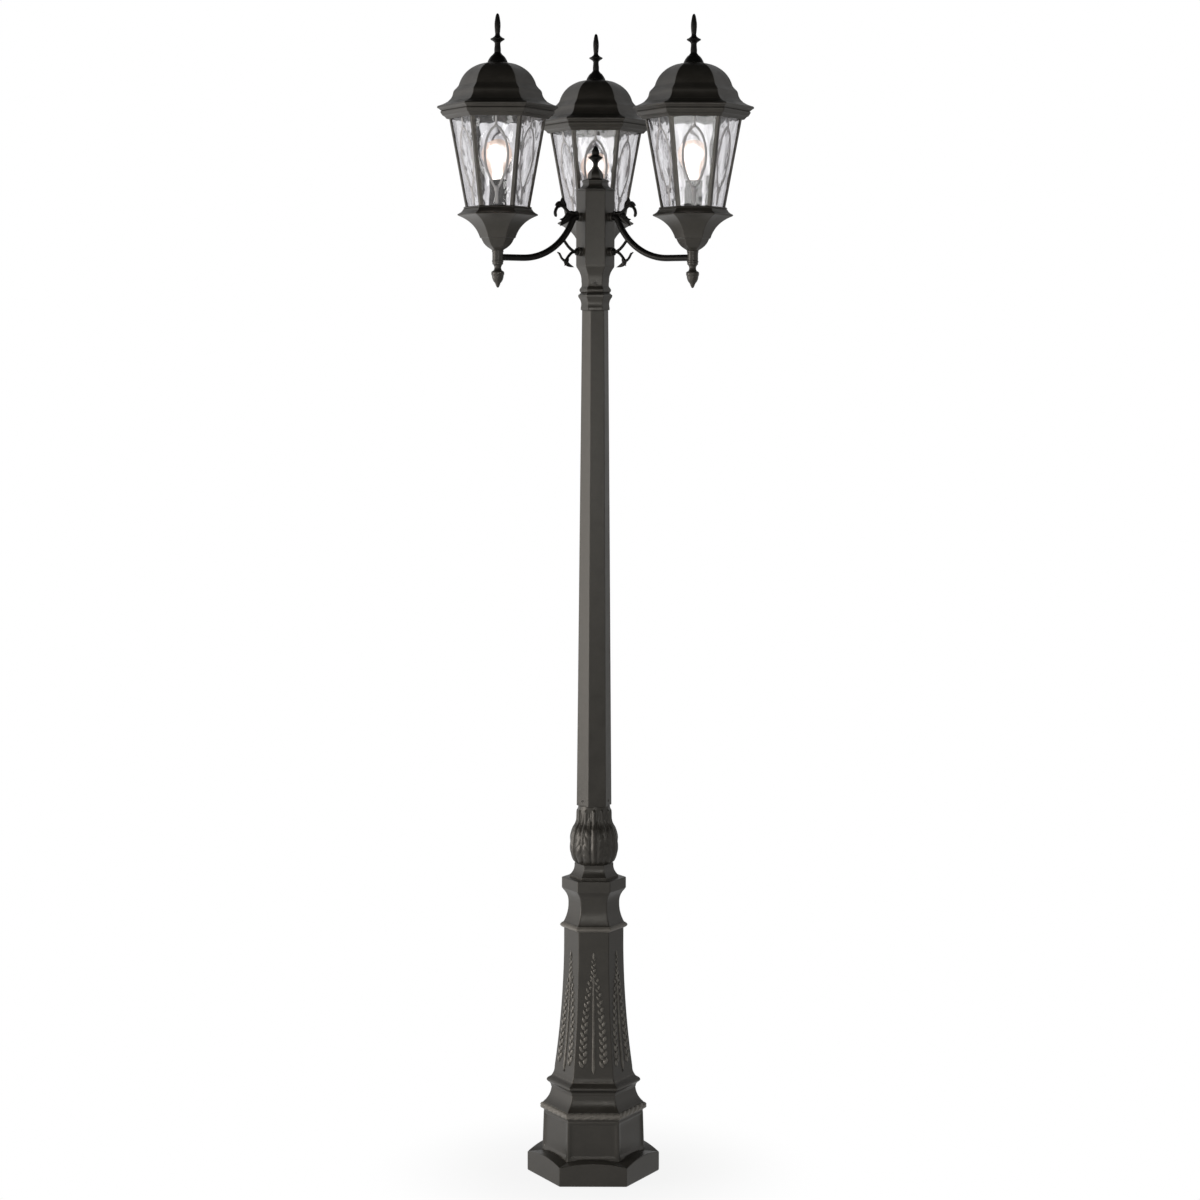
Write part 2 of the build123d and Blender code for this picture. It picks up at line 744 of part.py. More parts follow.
def upper_scroll(way):
    """Leaf scroll over the arm's end: a stem that curls up and outwards into a hook, a blade
    behind the curl, and a small leaf that points down along the arm."""
    boss = upper_boss_height
    with BuildPart() as scroll:
        with BuildSketch(arm_plane(way, -scroll_thick / 2)):
            arc_stroke([((boss_end + past, boss + 13), (60, boss + 13), (70, boss + 23)),
                        ((70, boss + 23), (83, boss + 27), (93, boss + 12)),
                        ((93, boss + 12), (93, boss + 5), (88, boss + 0))], scroll_stroke)
            leaf([((60, boss + 16), (66, boss + 30), (77, boss + 39)),
                  ((77, boss + 39), (83, boss + 30), (95, boss + 25)),
                  ((95, boss + 25), (84, boss + 17), (74, boss + 20)),
                  ((74, boss + 20), (67, boss + 12), (60, boss + 16))])
            leaf([((48, boss + 15), (62, boss + 12), (73, boss - 4)),
                  ((73, boss - 4), (76, boss - 12), (82, boss - 19)),
                  ((82, boss - 19), (68, boss - 17), (60, boss - 10)),
                  ((60, boss - 10), (52, boss + 2), (48, boss + 15))])
        extrude(amount=scroll_thick)
        add(arm_bar(way, arm_radius + slip), mode=Mode.SUBTRACT)
        add(radial_rod(boss_radius + 2 * slip, head_cavity_half, boss_end + slip, boss, way),
            mode=Mode.SUBTRACT)
    return scroll.part


def lower_scroll(way):
    """Brace scroll under the arm: a pin into the head's lower boss, a curved branch up to the
    arm, and a branch that curls down into a small leaf with a hook and a tail."""
    boss = lower_boss_height
    with BuildPart() as scroll:
        with BuildSketch(arm_plane(way, -scroll_thick / 2)):
            arc_stroke([((boss_end + past, boss), (54, boss + 2), (63, boss + 9)),
                        ((63, boss + 9), (69, boss + 16), (77, boss + 25))], brace_stroke)
            arc_stroke([((boss_end + past, boss), (56, boss - 3), (63, boss - 9)),
                        ((63, boss - 9), (68, boss - 14), (70, boss - 18)),
                        ((70, boss - 18), (79, boss - 14), (85, boss - 5))], brace_stroke)
            leaf([((52, boss - 31), (60, boss - 27), (64, boss - 15)),
                  ((64, boss - 15), (70, boss - 11), (77, boss - 14)),
                  ((77, boss - 14), (74, boss - 25), (67, boss - 28)),
                  ((67, boss - 28), (60, boss - 32), (52, boss - 31))])
        extrude(amount=scroll_thick)
        add(radial_rod(brace_collar_radius, boss_end + slip, boss_end + 5 * past, boss, way))
        add(radial_rod(boss_radius + slip, head_cavity_half, boss_end + slip, boss, way),
            mode=Mode.SUBTRACT)
        add(arm_bar(way, arm_radius + slip), mode=Mode.SUBTRACT)
        add(radial_rod(brace_pin_radius, head_cavity_half, boss_end + 3 * past, boss, way))
    return scroll.part


with BuildPart() as arm_lock_nuts:
    for way in lantern_ways.values():
        add(radial_rod(arm_nut_radius, head_cavity_half - arm_nut_thick, head_cavity_half,
                       upper_boss_height, way))
        add(radial_rod(arm_radius + slip, arm_inner_end - past, head_cavity_half + past,
                       upper_boss_height, way), mode=Mode.SUBTRACT)
keep(arm_lock_nuts.part, "arm_lock_nuts")

with BuildPart() as brace_screws:
    for way in lantern_ways.values():
        add(radial_rod(brace_screw_head, head_cavity_half - brace_screw_thick, head_cavity_half,
                       lower_boss_height, way))
keep(brace_screws.part, "brace_screws")

for side, way in lantern_ways.items():
    with BuildPart() as arm:
        add(arm_bar(way, arm_radius))
        add(arm_bar(way, arm_bore), mode=Mode.SUBTRACT)
    keep(arm.part, f"arm_{side}")
    keep(upper_scroll(way), f"upper_scroll_{side}")
    keep(lower_scroll(way), f"lower_scroll_{side}")

# ---------------------------------------------------------------- lantern's stem and drop
# From here on a piece is drawn on the origin's axis and then placed at each lantern.

for side, way in lantern_ways.items():
    with BuildPart() as stem:
        add(rod(stem_radius, stem_foot, stem_head))
        add(rod(stem_bore, stem_foot + stem_end_wall, stem_head - stem_end_wall),
            mode=Mode.SUBTRACT)
        add(rod(pipe_radius + slip, stem_foot - past, stem_head + past), mode=Mode.SUBTRACT)
        # the arm's hole is on the side that faces the post
        add(radial_rod(arm_radius + slip, -stem_radius - past, -stem_bore + past, arm_height, way),
            mode=Mode.SUBTRACT)
    keep(lantern_place(way) * stem.part, f"stem_{side}")

pipe_foot = stem_foot - drop_neck_drop
pipe_head = deck + holder_floor / 2
with BuildPart() as drop_finial:
    add(turned([
        (softening, stem_foot - drop_tip_drop, 0),
        (drop_radius, stem_foot - drop_belly_drop, 3 * softening),
        (drop_neck_radius, pipe_foot - drop_neck_thick / 2, 2 * softening),
        (drop_neck_radius, pipe_foot + drop_neck_thick / 2, -softening),
        (stem_radius - softening, stem_foot, -softening),
    ]))
    add(rod(pipe_radius + slip, pipe_foot - seat_gap, stem_foot + past), mode=Mode.SUBTRACT)
keep_at_lanterns(drop_finial.part, "drop_finial")

with BuildPart() as pipe:
    add(rod(pipe_radius, pipe_foot, pipe_head))
    add(rod(pipe_bore, pipe_foot - past, pipe_head + past), mode=Mode.SUBTRACT)
keep_at_lanterns(pipe.part, "threaded_pipe")

# ---------------------------------------------------------------- bowl

bowl_step_height = stem_head + bowl_step_rise
bowl_rim_height = stem_head + bowl_rim_rise
with BuildPart() as bowl:
    add(hexagonal([
        (bowl_foot_half, stem_head, 0),
        (bowl_step_half, bowl_step_height, 2 * softening),
        (bowl_step_half + bowl_lip, bowl_step_height + bowl_rim_edge, 0),
        (bowl_rim_half, bowl_rim_height, -bowl_hollow),
        (bowl_rim_half, bowl_rim_height + bowl_rim_edge, softening / 2),
        (cage_foot_half, cage_foot, -softening),
    ]))
    add(hexagonal([
        (bowl_foot_half - bowl_wall, stem_head + bowl_wall, 0),
        (bowl_step_half - bowl_wall, bowl_step_height + bowl_wall, softening),
        (cage_foot_half - 3 * bowl_wall, bowl_rim_height, -bowl_hollow + 2 * softening),
        (cage_foot_half - 3 * bowl_wall, cage_foot + past, 0),
    ]), mode=Mode.SUBTRACT)
    add(rod(pipe_radius + slip, stem_head - past, bowl_step_height), mode=Mode.SUBTRACT)
keep_at_lanterns(bowl.part, "bowl")

# ---------------------------------------------------------------- glazed cage

rail_inner_half = pane_head_half - cage_wall
with BuildPart() as cage:
    add(hexagonal([
        (cage_foot_half, cage_foot, 0),
        (cage_foot_half, deck - softening, 0),
        (pane_foot_half, deck, 0),
        (pane_head_half, pane_head, 0),
        (rail_half, rail_top - rail_edge, -2 * softening),
        (rail_half, rail_top, 0),
    ]))
    add(hexagonal([
        (pane_foot_half - cage_wall, deck, 0),
        (rail_inner_half, pane_head, 0),
        (rail_inner_half, rail_top + past, 0),
    ]), mode=Mode.SUBTRACT)
    add(rod(pipe_radius + slip, cage_foot - past, deck + past), mode=Mode.SUBTRACT)
    low, high = (half * TAN30 - bar_width for half in (pane_foot_half, pane_head_half))
    for way in alternate_sides:  # each cut opens two opposite sides
        with BuildSketch(across_flats(way + 90)):
            with BuildLine():
                Polyline((-low, deck), (low, deck), (high, pane_head), (-high, pane_head),
                         (-low, deck))
            make_face()
        extrude(amount=eave_half, both=True, mode=Mode.SUBTRACT)
keep_at_lanterns(cage.part, "cage")

pane_lean = atan2(pane_head_half - pane_foot_half, pane_rise)
pane_length = pane_rise / cos(pane_lean) - 2 * seat_gap
pane_face = pane_foot_half - (cage_wall + pane_play) / cos(pane_lean)
pane_halves = [
    (pane_face + slope - glass_thick / cos(pane_lean)) * TAN30 - pane_play
    for slope in (0, pane_length * sin(pane_lean))
]
with BuildPart() as pane_blank:
    with BuildSketch(Plane((0, -pane_face, deck + seat_gap), x_dir=(1, 0, 0),
                           z_dir=(0, -cos(pane_lean), -sin(pane_lean)))):
        with BuildLine():
            low, high = pane_halves
            Polyline((-low, 0), (low, 0), (high, pane_length), (-high, pane_length), (-low, 0))
        make_face()
    extrude(amount=-glass_thick)
with BuildPart() as panes:
    with PolarLocations(0, len(sides)):
        add(pane_blank.part)
keep_at_lanterns(panes.part, "panes")

# ---------------------------------------------------------------- roof and its finial

drip_height = rail_top + drip_rise
cove_height = rail_top + cove_rise
dome_foot = cove_height + dome_foot_rise
dome_head = dome_foot + dome_height
roof_flat = dome_head + roof_crown_rise
lip_half = rail_inner_half - 2 * seat_gap
with BuildPart() as roof:
    add(hexagonal([
        (rail_half + softening, rail_top, 0),
        (eave_half, rail_top + eave_rise - eave_edge, 0),
        (eave_half, rail_top + eave_rise, softening / 2),
        (drip_half + softening, drip_height - softening, -softening),
        (drip_half, drip_height, 0),
        (cove_half, cove_height - softening, -cove_hollow),
        (cove_half, cove_height, 0),
        (dome_half, dome_foot, 0),
        (dome_head_half, dome_head, dome_swell),
        (roof_flat_half, roof_flat, softening / 2),
    ]))
    add(prism(lip_half, rail_top - locating_lip, rail_top + past))
    add(hexagonal([
        (lip_half - roof_wall, rail_top - locating_lip - past, 0),
        (lip_half - roof_wall, rail_top + roof_wall, 0),
        (drip_half - roof_wall, rail_top + roof_wall, 0),
        (drip_half - roof_wall, drip_height - roof_wall, 0),
        (cove_half - roof_wall, cove_height - roof_wall, -cove_hollow),
        (dome_half - roof_wall, dome_foot - roof_wall, 0),
        (dome_head_half - roof_wall, dome_head - roof_wall, dome_swell),
    ]), mode=Mode.SUBTRACT)
    add(rod(finial_tail_radius + slip, dome_foot, roof_flat + past), mode=Mode.SUBTRACT)
keep_at_lanterns(roof.part, "roof")

cone_height = roof_flat + cone_rise
finial_disc = roof_flat + finial_disc_rise
finial_neck = finial_disc + finial_neck_rise
spear_belly = finial_neck + spear_belly_rise
full_height = spear_belly + spear_tip_rise
roof_finial = turned([
    (finial_tail_radius, roof_flat - finial_tail, 0),
    (finial_tail_radius, roof_flat, 0),
    (cone_radius, roof_flat, 0),
    (cone_radius, roof_flat + cone_edge, 0),
    (baluster_radius, cone_height, -3 * softening),
    (baluster_waist, cone_height + baluster_rise, -softening / 2),
    (baluster_radius, finial_disc - 2 * disc_ease, -softening / 2),
    (finial_disc_radius, finial_disc - disc_ease / 2, -softening / 2),
    (finial_disc_radius, finial_disc + disc_ease / 2, softening),
    (finial_neck_radius + softening, finial_disc + 2 * disc_ease, -softening / 2),
    (finial_neck_radius, finial_neck, -softening / 2),
    (spear_radius, spear_belly, softening),
    (softening / 2, full_height, softening),
])
keep_at_lanterns(roof_finial, "roof_finial")

# ---------------------------------------------------------------- lamp holder and bulb

with BuildPart() as sleeve:
    add(rod(sleeve_radius, deck, deck + sleeve_height))
    add(rod(sleeve_radius - sleeve_wall, deck - past, deck + sleeve_height + past),
        mode=Mode.SUBTRACT)
keep_at_lanterns(sleeve.part, "holder_sleeve")

holder_top = deck + holder_height
bore_foot = holder_top - cap_length - seat_gap
with BuildPart() as lamp_holder:
    add(rod(holder_radius, deck, holder_top))
    add(rod(cap_radius + seat_gap, bore_foot, holder_top + past), mode=Mode.SUBTRACT)
    add(rod(pipe_radius + slip, deck - past, deck + holder_floor), mode=Mode.SUBTRACT)
keep_at_lanterns(lamp_holder.part, "lamp_holder")

cap_foot = bore_foot + seat_gap
cap_rim = cap_foot + cap_length
with BuildPart() as bulb_cap:
    add(turned([
        (contact_radius, cap_foot, 0),
        (cap_radius - 2 * softening, cap_foot + 2 * softening, softening / 2),
        (cap_radius, cap_foot + 4 * softening, 0),
        (cap_radius, cap_rim, 0),
    ]))
    add(rod(cap_radius - cap_shell, cap_rim - glass_root - past, cap_rim + past),
        mode=Mode.SUBTRACT)
keep_at_lanterns(bulb_cap.part, "bulb_cap")

globe_height = cap_rim + bulb_length - globe_radius


def bulb_skin(inner):
    """Outline of the glass, nearer its own axis by a wall: neck, flaring shoulder and globe."""
    globe = globe_radius - inner
    open_end = past if inner else 0
    return [
        (glass_neck_radius - inner, cap_rim - glass_root - open_end, 0),
        (glass_neck_radius - inner, cap_rim, 0),
        (glass_neck_radius + 2 * softening - inner, cap_rim + bulb_neck_length, -softening / 3),
        (globe, globe_height, softening),
        (slip, globe_height + globe, globe * (1 - 1 / sqrt(2))),
    ]


with BuildPart() as bulb:
    add(turned(bulb_skin(0)))
    add(turned(bulb_skin(glass_shell)), mode=Mode.SUBTRACT)
keep_at_lanterns(bulb.part, "bulb")

print(f"full height {full_height:.1f}")
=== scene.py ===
# %% [markdown]
# # A triple head lamp post
# This lesson dresses the bare model of a garden post light: a hexagonal cast post with a leaf
# collar, three curved arms with scrolls, and three glazed lanterns. The frame that is loaded
# here is the post as it was engineered, in metres, with +Z up and the front towards -Y. It says
# where every piece sits and what moves. Everything below gives those pieces their real surfaces.
# Outlines are written in millimetres, because that is how a founder would read them.

# %% Load the frame
from math import cos, pi, radians, sin, tan

import bmesh
import bpy
import numpy as np
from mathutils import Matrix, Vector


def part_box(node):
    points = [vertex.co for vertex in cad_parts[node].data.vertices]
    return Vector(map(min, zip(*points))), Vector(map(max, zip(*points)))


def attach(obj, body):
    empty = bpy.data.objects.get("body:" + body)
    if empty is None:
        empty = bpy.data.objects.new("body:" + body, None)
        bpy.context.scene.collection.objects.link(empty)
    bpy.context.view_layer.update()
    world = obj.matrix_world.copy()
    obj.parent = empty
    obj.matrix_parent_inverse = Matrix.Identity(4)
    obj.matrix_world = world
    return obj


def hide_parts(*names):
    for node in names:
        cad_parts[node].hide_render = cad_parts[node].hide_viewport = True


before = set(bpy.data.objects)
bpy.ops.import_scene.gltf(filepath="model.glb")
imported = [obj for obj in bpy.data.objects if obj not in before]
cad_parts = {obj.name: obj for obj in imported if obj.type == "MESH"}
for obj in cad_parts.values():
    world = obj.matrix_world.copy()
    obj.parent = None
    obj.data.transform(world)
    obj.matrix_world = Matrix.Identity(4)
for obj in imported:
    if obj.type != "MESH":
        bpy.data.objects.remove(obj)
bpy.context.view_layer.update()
MM = 0.001


def span(node):
    """Lowest and highest level of a part of the frame, in millimetres."""
    low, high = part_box(node)
    return low.z / MM, high.z / MM


print(len(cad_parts), "nodes, height", round(span("roof_finial_left")[1], 1), "mm")

# %% [markdown]
# ## Camera
# The post was photographed from far off with a long lens, from above its middle and tipped five
# degrees down, so the lanterns are seen slightly from below and the foot from above. The same
# view comes from fitting the six corners of the foot and the tips of the three finials. The post
# leans by a hair in the picture, and the camera's small roll follows it. The lens is left
# without shift, so every other view of the scene works as well.

# %% Camera
CAMERA_PLACE = (0.0102, -5.643, 1.7182)
SENSOR, LENS = 36.0, 81.28
TIPPED_DOWN, ROLL = 5.06, -0.14
camera_data = bpy.data.cameras.new("camera")
camera_data.sensor_width = SENSOR
camera_data.lens = LENS
camera_data.clip_end = 100.0
camera = bpy.data.objects.new("camera", camera_data)
camera.location = CAMERA_PLACE
camera.rotation_euler = (radians(90 - TIPPED_DOWN), radians(ROLL), 0)
bpy.context.scene.collection.objects.link(camera)
bpy.context.scene.camera = camera
print("camera", tuple(camera.location))

# %% [markdown]
# ## Nodes in few words
# Materials here are networks of shader nodes. A few small helpers keep them readable. The first
# adds a node with its settings and inputs, and the others use it for one step of arithmetic, a
# smooth step, a mix of colours, soft noise and a bump. The last starts a group whose sockets are
# named: it is built once and then placed in every material that shows the same effect.

# %% Node helpers
def add_node(tree, kind, inputs=(), **settings):
    """A node of a kind, with its settings, and its inputs given as values or as sockets."""
    node = tree.nodes.new(kind)
    for name, value in settings.items():
        setattr(node, name, value)
    for name, value in dict(inputs).items():
        if isinstance(value, bpy.types.NodeSocket):
            tree.links.new(value, node.inputs[name])
        else:
            node.inputs[name].default_value = value
    return node


def sums(tree, operation, first, second=0.5, third=0.5, clamp=False):
    """One step of arithmetic on sockets or numbers."""
    return add_node(tree, "ShaderNodeMath", {0: first, 1: second, 2: third},
                    operation=operation, use_clamp=clamp).outputs[0]


def fade(tree, value, low, high, start=0.0, end=1.0):
    """A smooth step: start below the low value, end above the high one."""
    return add_node(tree, "ShaderNodeMapRange", {
        "Value": value, "From Min": low, "From Max": high, "To Min": start, "To Max": end,
    }, interpolation_type="SMOOTHSTEP").outputs[0]


def blend_colours(tree, share, first, second):
    """One colour over another, by a share from 0 to 1."""
    node = add_node(tree, "ShaderNodeMix", data_type="RGBA")
    for index, value in ((0, share), (6, first), (7, second)):
        if isinstance(value, bpy.types.NodeSocket):
            tree.links.new(value, node.inputs[index])
        else:
            node.inputs[index].default_value = value
    return node.outputs[2]


def object_place(tree):
    """Where a point lies in its piece's own space, which here is also the post's."""
    return tree.nodes.new("ShaderNodeTexCoord").outputs["Object"]


def noise(tree, scale, detail, roughness=0.5):
    """Soft random blotches from 0 to 1, that many to a metre."""
    return add_node(tree, "ShaderNodeTexNoise", {
        "Vector": object_place(tree), "Scale": scale, "Detail": detail,
        "Roughness": roughness}).outputs["Fac"]


def bump_on(tree, shader, height, strength, distance):
    """Tilts a shader's normal by a height, and leaves the mesh as it is."""
    raised = add_node(tree, "ShaderNodeBump", {
        "Height": height, "Strength": strength, "Distance": distance})
    tree.links.new(raised.outputs[0], shader.inputs["Normal"])


def start_group(name, inputs, outputs):
    """An empty shader group: inputs are (name, kind, default), outputs are (name, kind)."""
    tree = bpy.data.node_groups.new(name, "ShaderNodeTree")
    for title, kind, default in inputs:
        socket = tree.interface.new_socket(title, in_out="INPUT", socket_type=kind)
        socket.default_value = default
    for title, kind in outputs:
        tree.interface.new_socket(title, in_out="OUTPUT", socket_type=kind)
    return tree, tree.nodes.new("NodeGroupInput"), tree.nodes.new("NodeGroupOutput")


NUMBER = "NodeSocketFloat"
print("node helpers ready")

# %% [markdown]
# ## Studio
# The photograph is a catalogue shot: pure white all round, a large soft lamp to the left, little
# light from the right and almost none from above, which is why the roofs turn black towards their
# tops. White around the object could be real light, but that would wash the dark metal out.
# Instead the world is plain white only for the camera and for rays that pass through glass. What
# the metal mirrors is graded: white low down, reaching higher behind the post, brighter to the
# left, and nearly black overhead. Matt surfaces are lit by about a third of that. The floor works
# the same way: it glows white in view, its mirror image dims to the right, and near the foot a
# share of plain matt white takes over, which holds the shadow.

# %% World
# the white's extra height behind the post, the heights where it ends and where the dark begins,
# what is left overhead, and the share that lights matt surfaces
RISE_BEHIND, WHITE_TO, DARK_FROM, OVERHEAD, MATT_SHARE = 0.44, 0.02, 0.50, 0.02, 0.36
world = bpy.data.worlds.new("studio")
bpy.context.scene.world = world
world.use_nodes = True
tree = world.node_tree
tree.nodes.clear()
light_path = tree.nodes.new("ShaderNodeLightPath")
direction = add_node(tree, "ShaderNodeSeparateXYZ",
                     {0: tree.nodes.new("ShaderNodeTexCoord").outputs["Generated"]})
behind = sums(tree, "MAXIMUM", direction.outputs["Y"], 0.0)
height = sums(tree, "MULTIPLY_ADD", behind, -RISE_BEHIND, direction.outputs["Z"])
open_sky = fade(tree, height, WHITE_TO, DARK_FROM, 1.0, OVERHEAD)
from_left = fade(tree, direction.outputs["X"], 0.1, -0.9, 0.55, 1.0)
mirrored = sums(tree, "MULTIPLY", from_left, open_sky)
matt = sums(tree, "MULTIPLY", open_sky, MATT_SHARE)
seen_white = sums(tree, "MAXIMUM", light_path.outputs["Is Camera Ray"],
                  light_path.outputs["Is Transmission Ray"])
dim = add_node(tree, "ShaderNodeMix", {0: light_path.outputs["Is Glossy Ray"],
                                       2: matt, 3: mirrored}).outputs[0]
level = add_node(tree, "ShaderNodeMix", {0: seen_white, 2: dim, 3: 1.0}).outputs[0]
background = add_node(tree, "ShaderNodeBackground",
                      {"Color": (1.0, 1.0, 1.0, 1.0), "Strength": level})
tree.links.new(background.outputs[0], add_node(tree, "ShaderNodeOutputWorld").inputs[0])
print("world", len(tree.nodes), "nodes")

# %% [markdown]
# Three soft lamps light the post: the large warm one to its left, a weak fill on the right that
# the metal doesn't mirror, and a weak strip in front. None of them is seen itself.

# %% Lamps
LAMPS = (
    # name, place, aims at, width and height, watts, colour
    ("left_softbox", (-4.1, -0.95, 1.0), (0, 0, 1.2), (2.4, 2.3), 112.0, (1.0, 0.95, 0.905)),
    ("right_fill", (4.0, -1.2, 1.3), (0, 0, 1.3), (1.6, 2.4), 20.0, (1.0, 0.975, 0.94)),
    ("front_strip", (0.35, -2.8, 1.5), (0, 0, 1.1), (1.0, 0.5), 12.0, (1.0, 1.0, 0.985)),
)
for name, place, target, size, watts, colour in LAMPS:
    lamp_data = bpy.data.lights.new(name, "AREA")
    lamp_data.shape = "RECTANGLE"
    lamp_data.size, lamp_data.size_y = size
    lamp_data.energy = watts
    lamp_data.color = colour
    lamp = bpy.data.objects.new(name, lamp_data)
    lamp.location = place
    aim = np.subtract(target, place)
    lamp.rotation_euler = (
        float(np.arctan2(np.hypot(aim[0], aim[1]), -aim[2])), 0,
        float(np.arctan2(aim[1], aim[0]) - pi / 2))
    lamp.visible_glossy = name != "right_fill"
    lamp.visible_camera = False
    lamp.visible_transmission = False
    bpy.context.scene.collection.objects.link(lamp)
print(len(LAMPS), "lamps")

# %% Floor
FLOOR_REACH, FLOOR_LEVEL = 14.0, -0.0003
SHADOW_NEAR, SHADOW_FAR, SHADOW_SHARE = 0.12, 0.50, 0.11
floor_mesh = bpy.data.meshes.new("floor")
corners = [(x * FLOOR_REACH, y * FLOOR_REACH, FLOOR_LEVEL)
           for x, y in ((-1, -1), (1, -1), (1, 1), (-1, 1))]
floor_mesh.from_pydata(corners, [], [(0, 1, 2, 3)])
floor = bpy.data.objects.new("floor", floor_mesh)
bpy.context.scene.collection.objects.link(floor)

floor_material = bpy.data.materials.new("studio_floor")
floor_material.use_nodes = True
tree = floor_material.node_tree
tree.nodes.clear()
light_path = tree.nodes.new("ShaderNodeLightPath")
place = object_place(tree)
distance = add_node(tree, "ShaderNodeVectorMath", {0: place}, operation="LENGTH").outputs["Value"]
near = fade(tree, distance, SHADOW_NEAR, SHADOW_FAR, SHADOW_SHARE, 0.0)
seen = sums(tree, "MAXIMUM", light_path.outputs["Is Camera Ray"],
            sums(tree, "MAXIMUM", light_path.outputs["Is Transmission Ray"],
                 light_path.outputs["Is Glossy Ray"]))
glow_share = sums(tree, "MULTIPLY", seen, sums(tree, "SUBTRACT", 1.0, near))
matt_white = add_node(tree, "ShaderNodeBsdfDiffuse", {"Color": (0.86, 0.86, 0.86, 1.0)})
across = add_node(tree, "ShaderNodeSeparateXYZ", {0: place}).outputs["X"]
mirrored = fade(tree, across, 1.2, -1.2, 0.40, 1.0)
strength = add_node(tree, "ShaderNodeMix", {0: light_path.outputs["Is Glossy Ray"], 2: 1.0,
                                            3: mirrored}).outputs[0]
glow = add_node(tree, "ShaderNodeEmission", {"Color": (1.0, 1.0, 1.0, 1.0),
                                             "Strength": strength})
mixed = add_node(tree, "ShaderNodeMixShader", {0: glow_share, 1: matt_white.outputs[0],
                                               2: glow.outputs[0]})
tree.links.new(mixed.outputs[0], add_node(tree, "ShaderNodeOutputMaterial").inputs[0])
floor_mesh.materials.append(floor_material)

bpy.context.scene.view_settings.view_transform = "Standard"
print("floor laid")

# %% [markdown]
# ## What the metal shows
# The casting is aluminium under a baked bronze-black powder coat. Close up, such a coat has three
# things that a flat colour lacks. It has a grain: the powder melts into fine pimples about a
# millimetre apart, over the slow waves of the sand mould. It wears on its edges, where the
# coat is thin. And outdoors dust settles on whatever faces up. Each one is a node group, so that
# every metal can ask for its own amount.

# %% Grain of a powder coat
tree, given, result = start_group(
    "cast_grain",
    [("Grain", NUMBER, 850.0), ("Waves", NUMBER, 30.0), ("Roughness of waves", NUMBER, 0.35)],
    [("Height", NUMBER), ("Tone", NUMBER)])
pimples = noise(tree, given.outputs["Grain"], 2.0, 0.55)
waves = noise(tree, given.outputs["Waves"], 4.0, 0.6)
height = sums(tree, "MULTIPLY_ADD", waves, given.outputs["Roughness of waves"], pimples)
tree.links.new(height, result.inputs["Height"])
tone = sums(tree, "MULTIPLY_ADD", pimples, 0.35, sums(tree, "MULTIPLY", waves, 0.65))
tree.links.new(tone, result.inputs["Tone"])
cast_grain = tree
print(cast_grain.name, len(tree.nodes), "nodes")

# %% [markdown]
# Each piece's mesh carries the number "ridge": how far its neighbours lie below a point's own
# tangent plane, 0 on flats and in hollows and up to 1 along an arris. The wear reads it, and a
# coarse noise breaks it up, because a coat never wears evenly.

# %% Worn edges
tree, given, result = start_group(
    "edge_wear", [("Amount", NUMBER, 0.5), ("Breaks", NUMBER, 120.0)], [("Mask", NUMBER)])
ridge = add_node(tree, "ShaderNodeAttribute", attribute_name="ridge")
broken = fade(tree, noise(tree, given.outputs["Breaks"], 3.0, 0.65), 0.35, 0.75)
edge = fade(tree, ridge.outputs["Fac"], 0.12, 0.6)
mask = sums(tree, "MULTIPLY", sums(tree, "MULTIPLY", edge, broken), given.outputs["Amount"],
            clamp=True)
tree.links.new(mask, result.inputs["Mask"])
edge_wear = tree
print(edge_wear.name, len(tree.nodes), "nodes")

# %% Dust on upward faces
tree, given, result = start_group(
    "settled_dust", [("Amount", NUMBER, 0.3), ("Patches", NUMBER, 22.0)], [("Mask", NUMBER)])
normal = add_node(tree, "ShaderNodeSeparateXYZ",
                  {0: tree.nodes.new("ShaderNodeNewGeometry").outputs["Normal"]})
lying = fade(tree, normal.outputs["Z"], 0.45, 0.98)
patchy = fade(tree, noise(tree, given.outputs["Patches"], 5.0, 0.7), 0.3, 0.7, 0.35, 1.0)
mask = sums(tree, "MULTIPLY", sums(tree, "MULTIPLY", lying, patchy), given.outputs["Amount"],
            clamp=True)
tree.links.new(mask, result.inputs["Mask"])
settled_dust = tree
print(settled_dust.name, len(tree.nodes), "nodes")

# %% [markdown]
# ## Finishes
# The record of the post names six finishes, and each becomes a material. The metals share one
# recipe: a colour that drifts with the grain's tone, lightened at worn edges and under dust, a
# roughness that follows, and a bump from the grain. A few castings get their own mix of the
# recipe. The wheat is painted paler than its ground, a painted highlight for the light its grains
# catch, and the rope and the bead are paler still, partly wear on their crests and partly painted
# highlight. The arms, scrolls and finials are the blackest. The bulb holder's sleeve is smoother,
# and the set screws show bright edges.

# %% Coated and bare metals
def group_in(tree, group, **values):
    """A shared effect placed in a material, with its own values."""
    node = add_node(tree, "ShaderNodeGroup", node_tree=group)
    for name, value in values.items():
        node.inputs[name].default_value = value
    return node


def finish_of(name):
    """A new material with its Principled shader, ready to be fed."""
    material = bpy.data.materials.new(name)
    material.use_nodes = True
    tree = material.node_tree
    return material, tree, tree.nodes["Principled BSDF"]


DUST_COLOUR, GRAIN_DEPTH = (0.10, 0.095, 0.085, 1.0), 0.0004


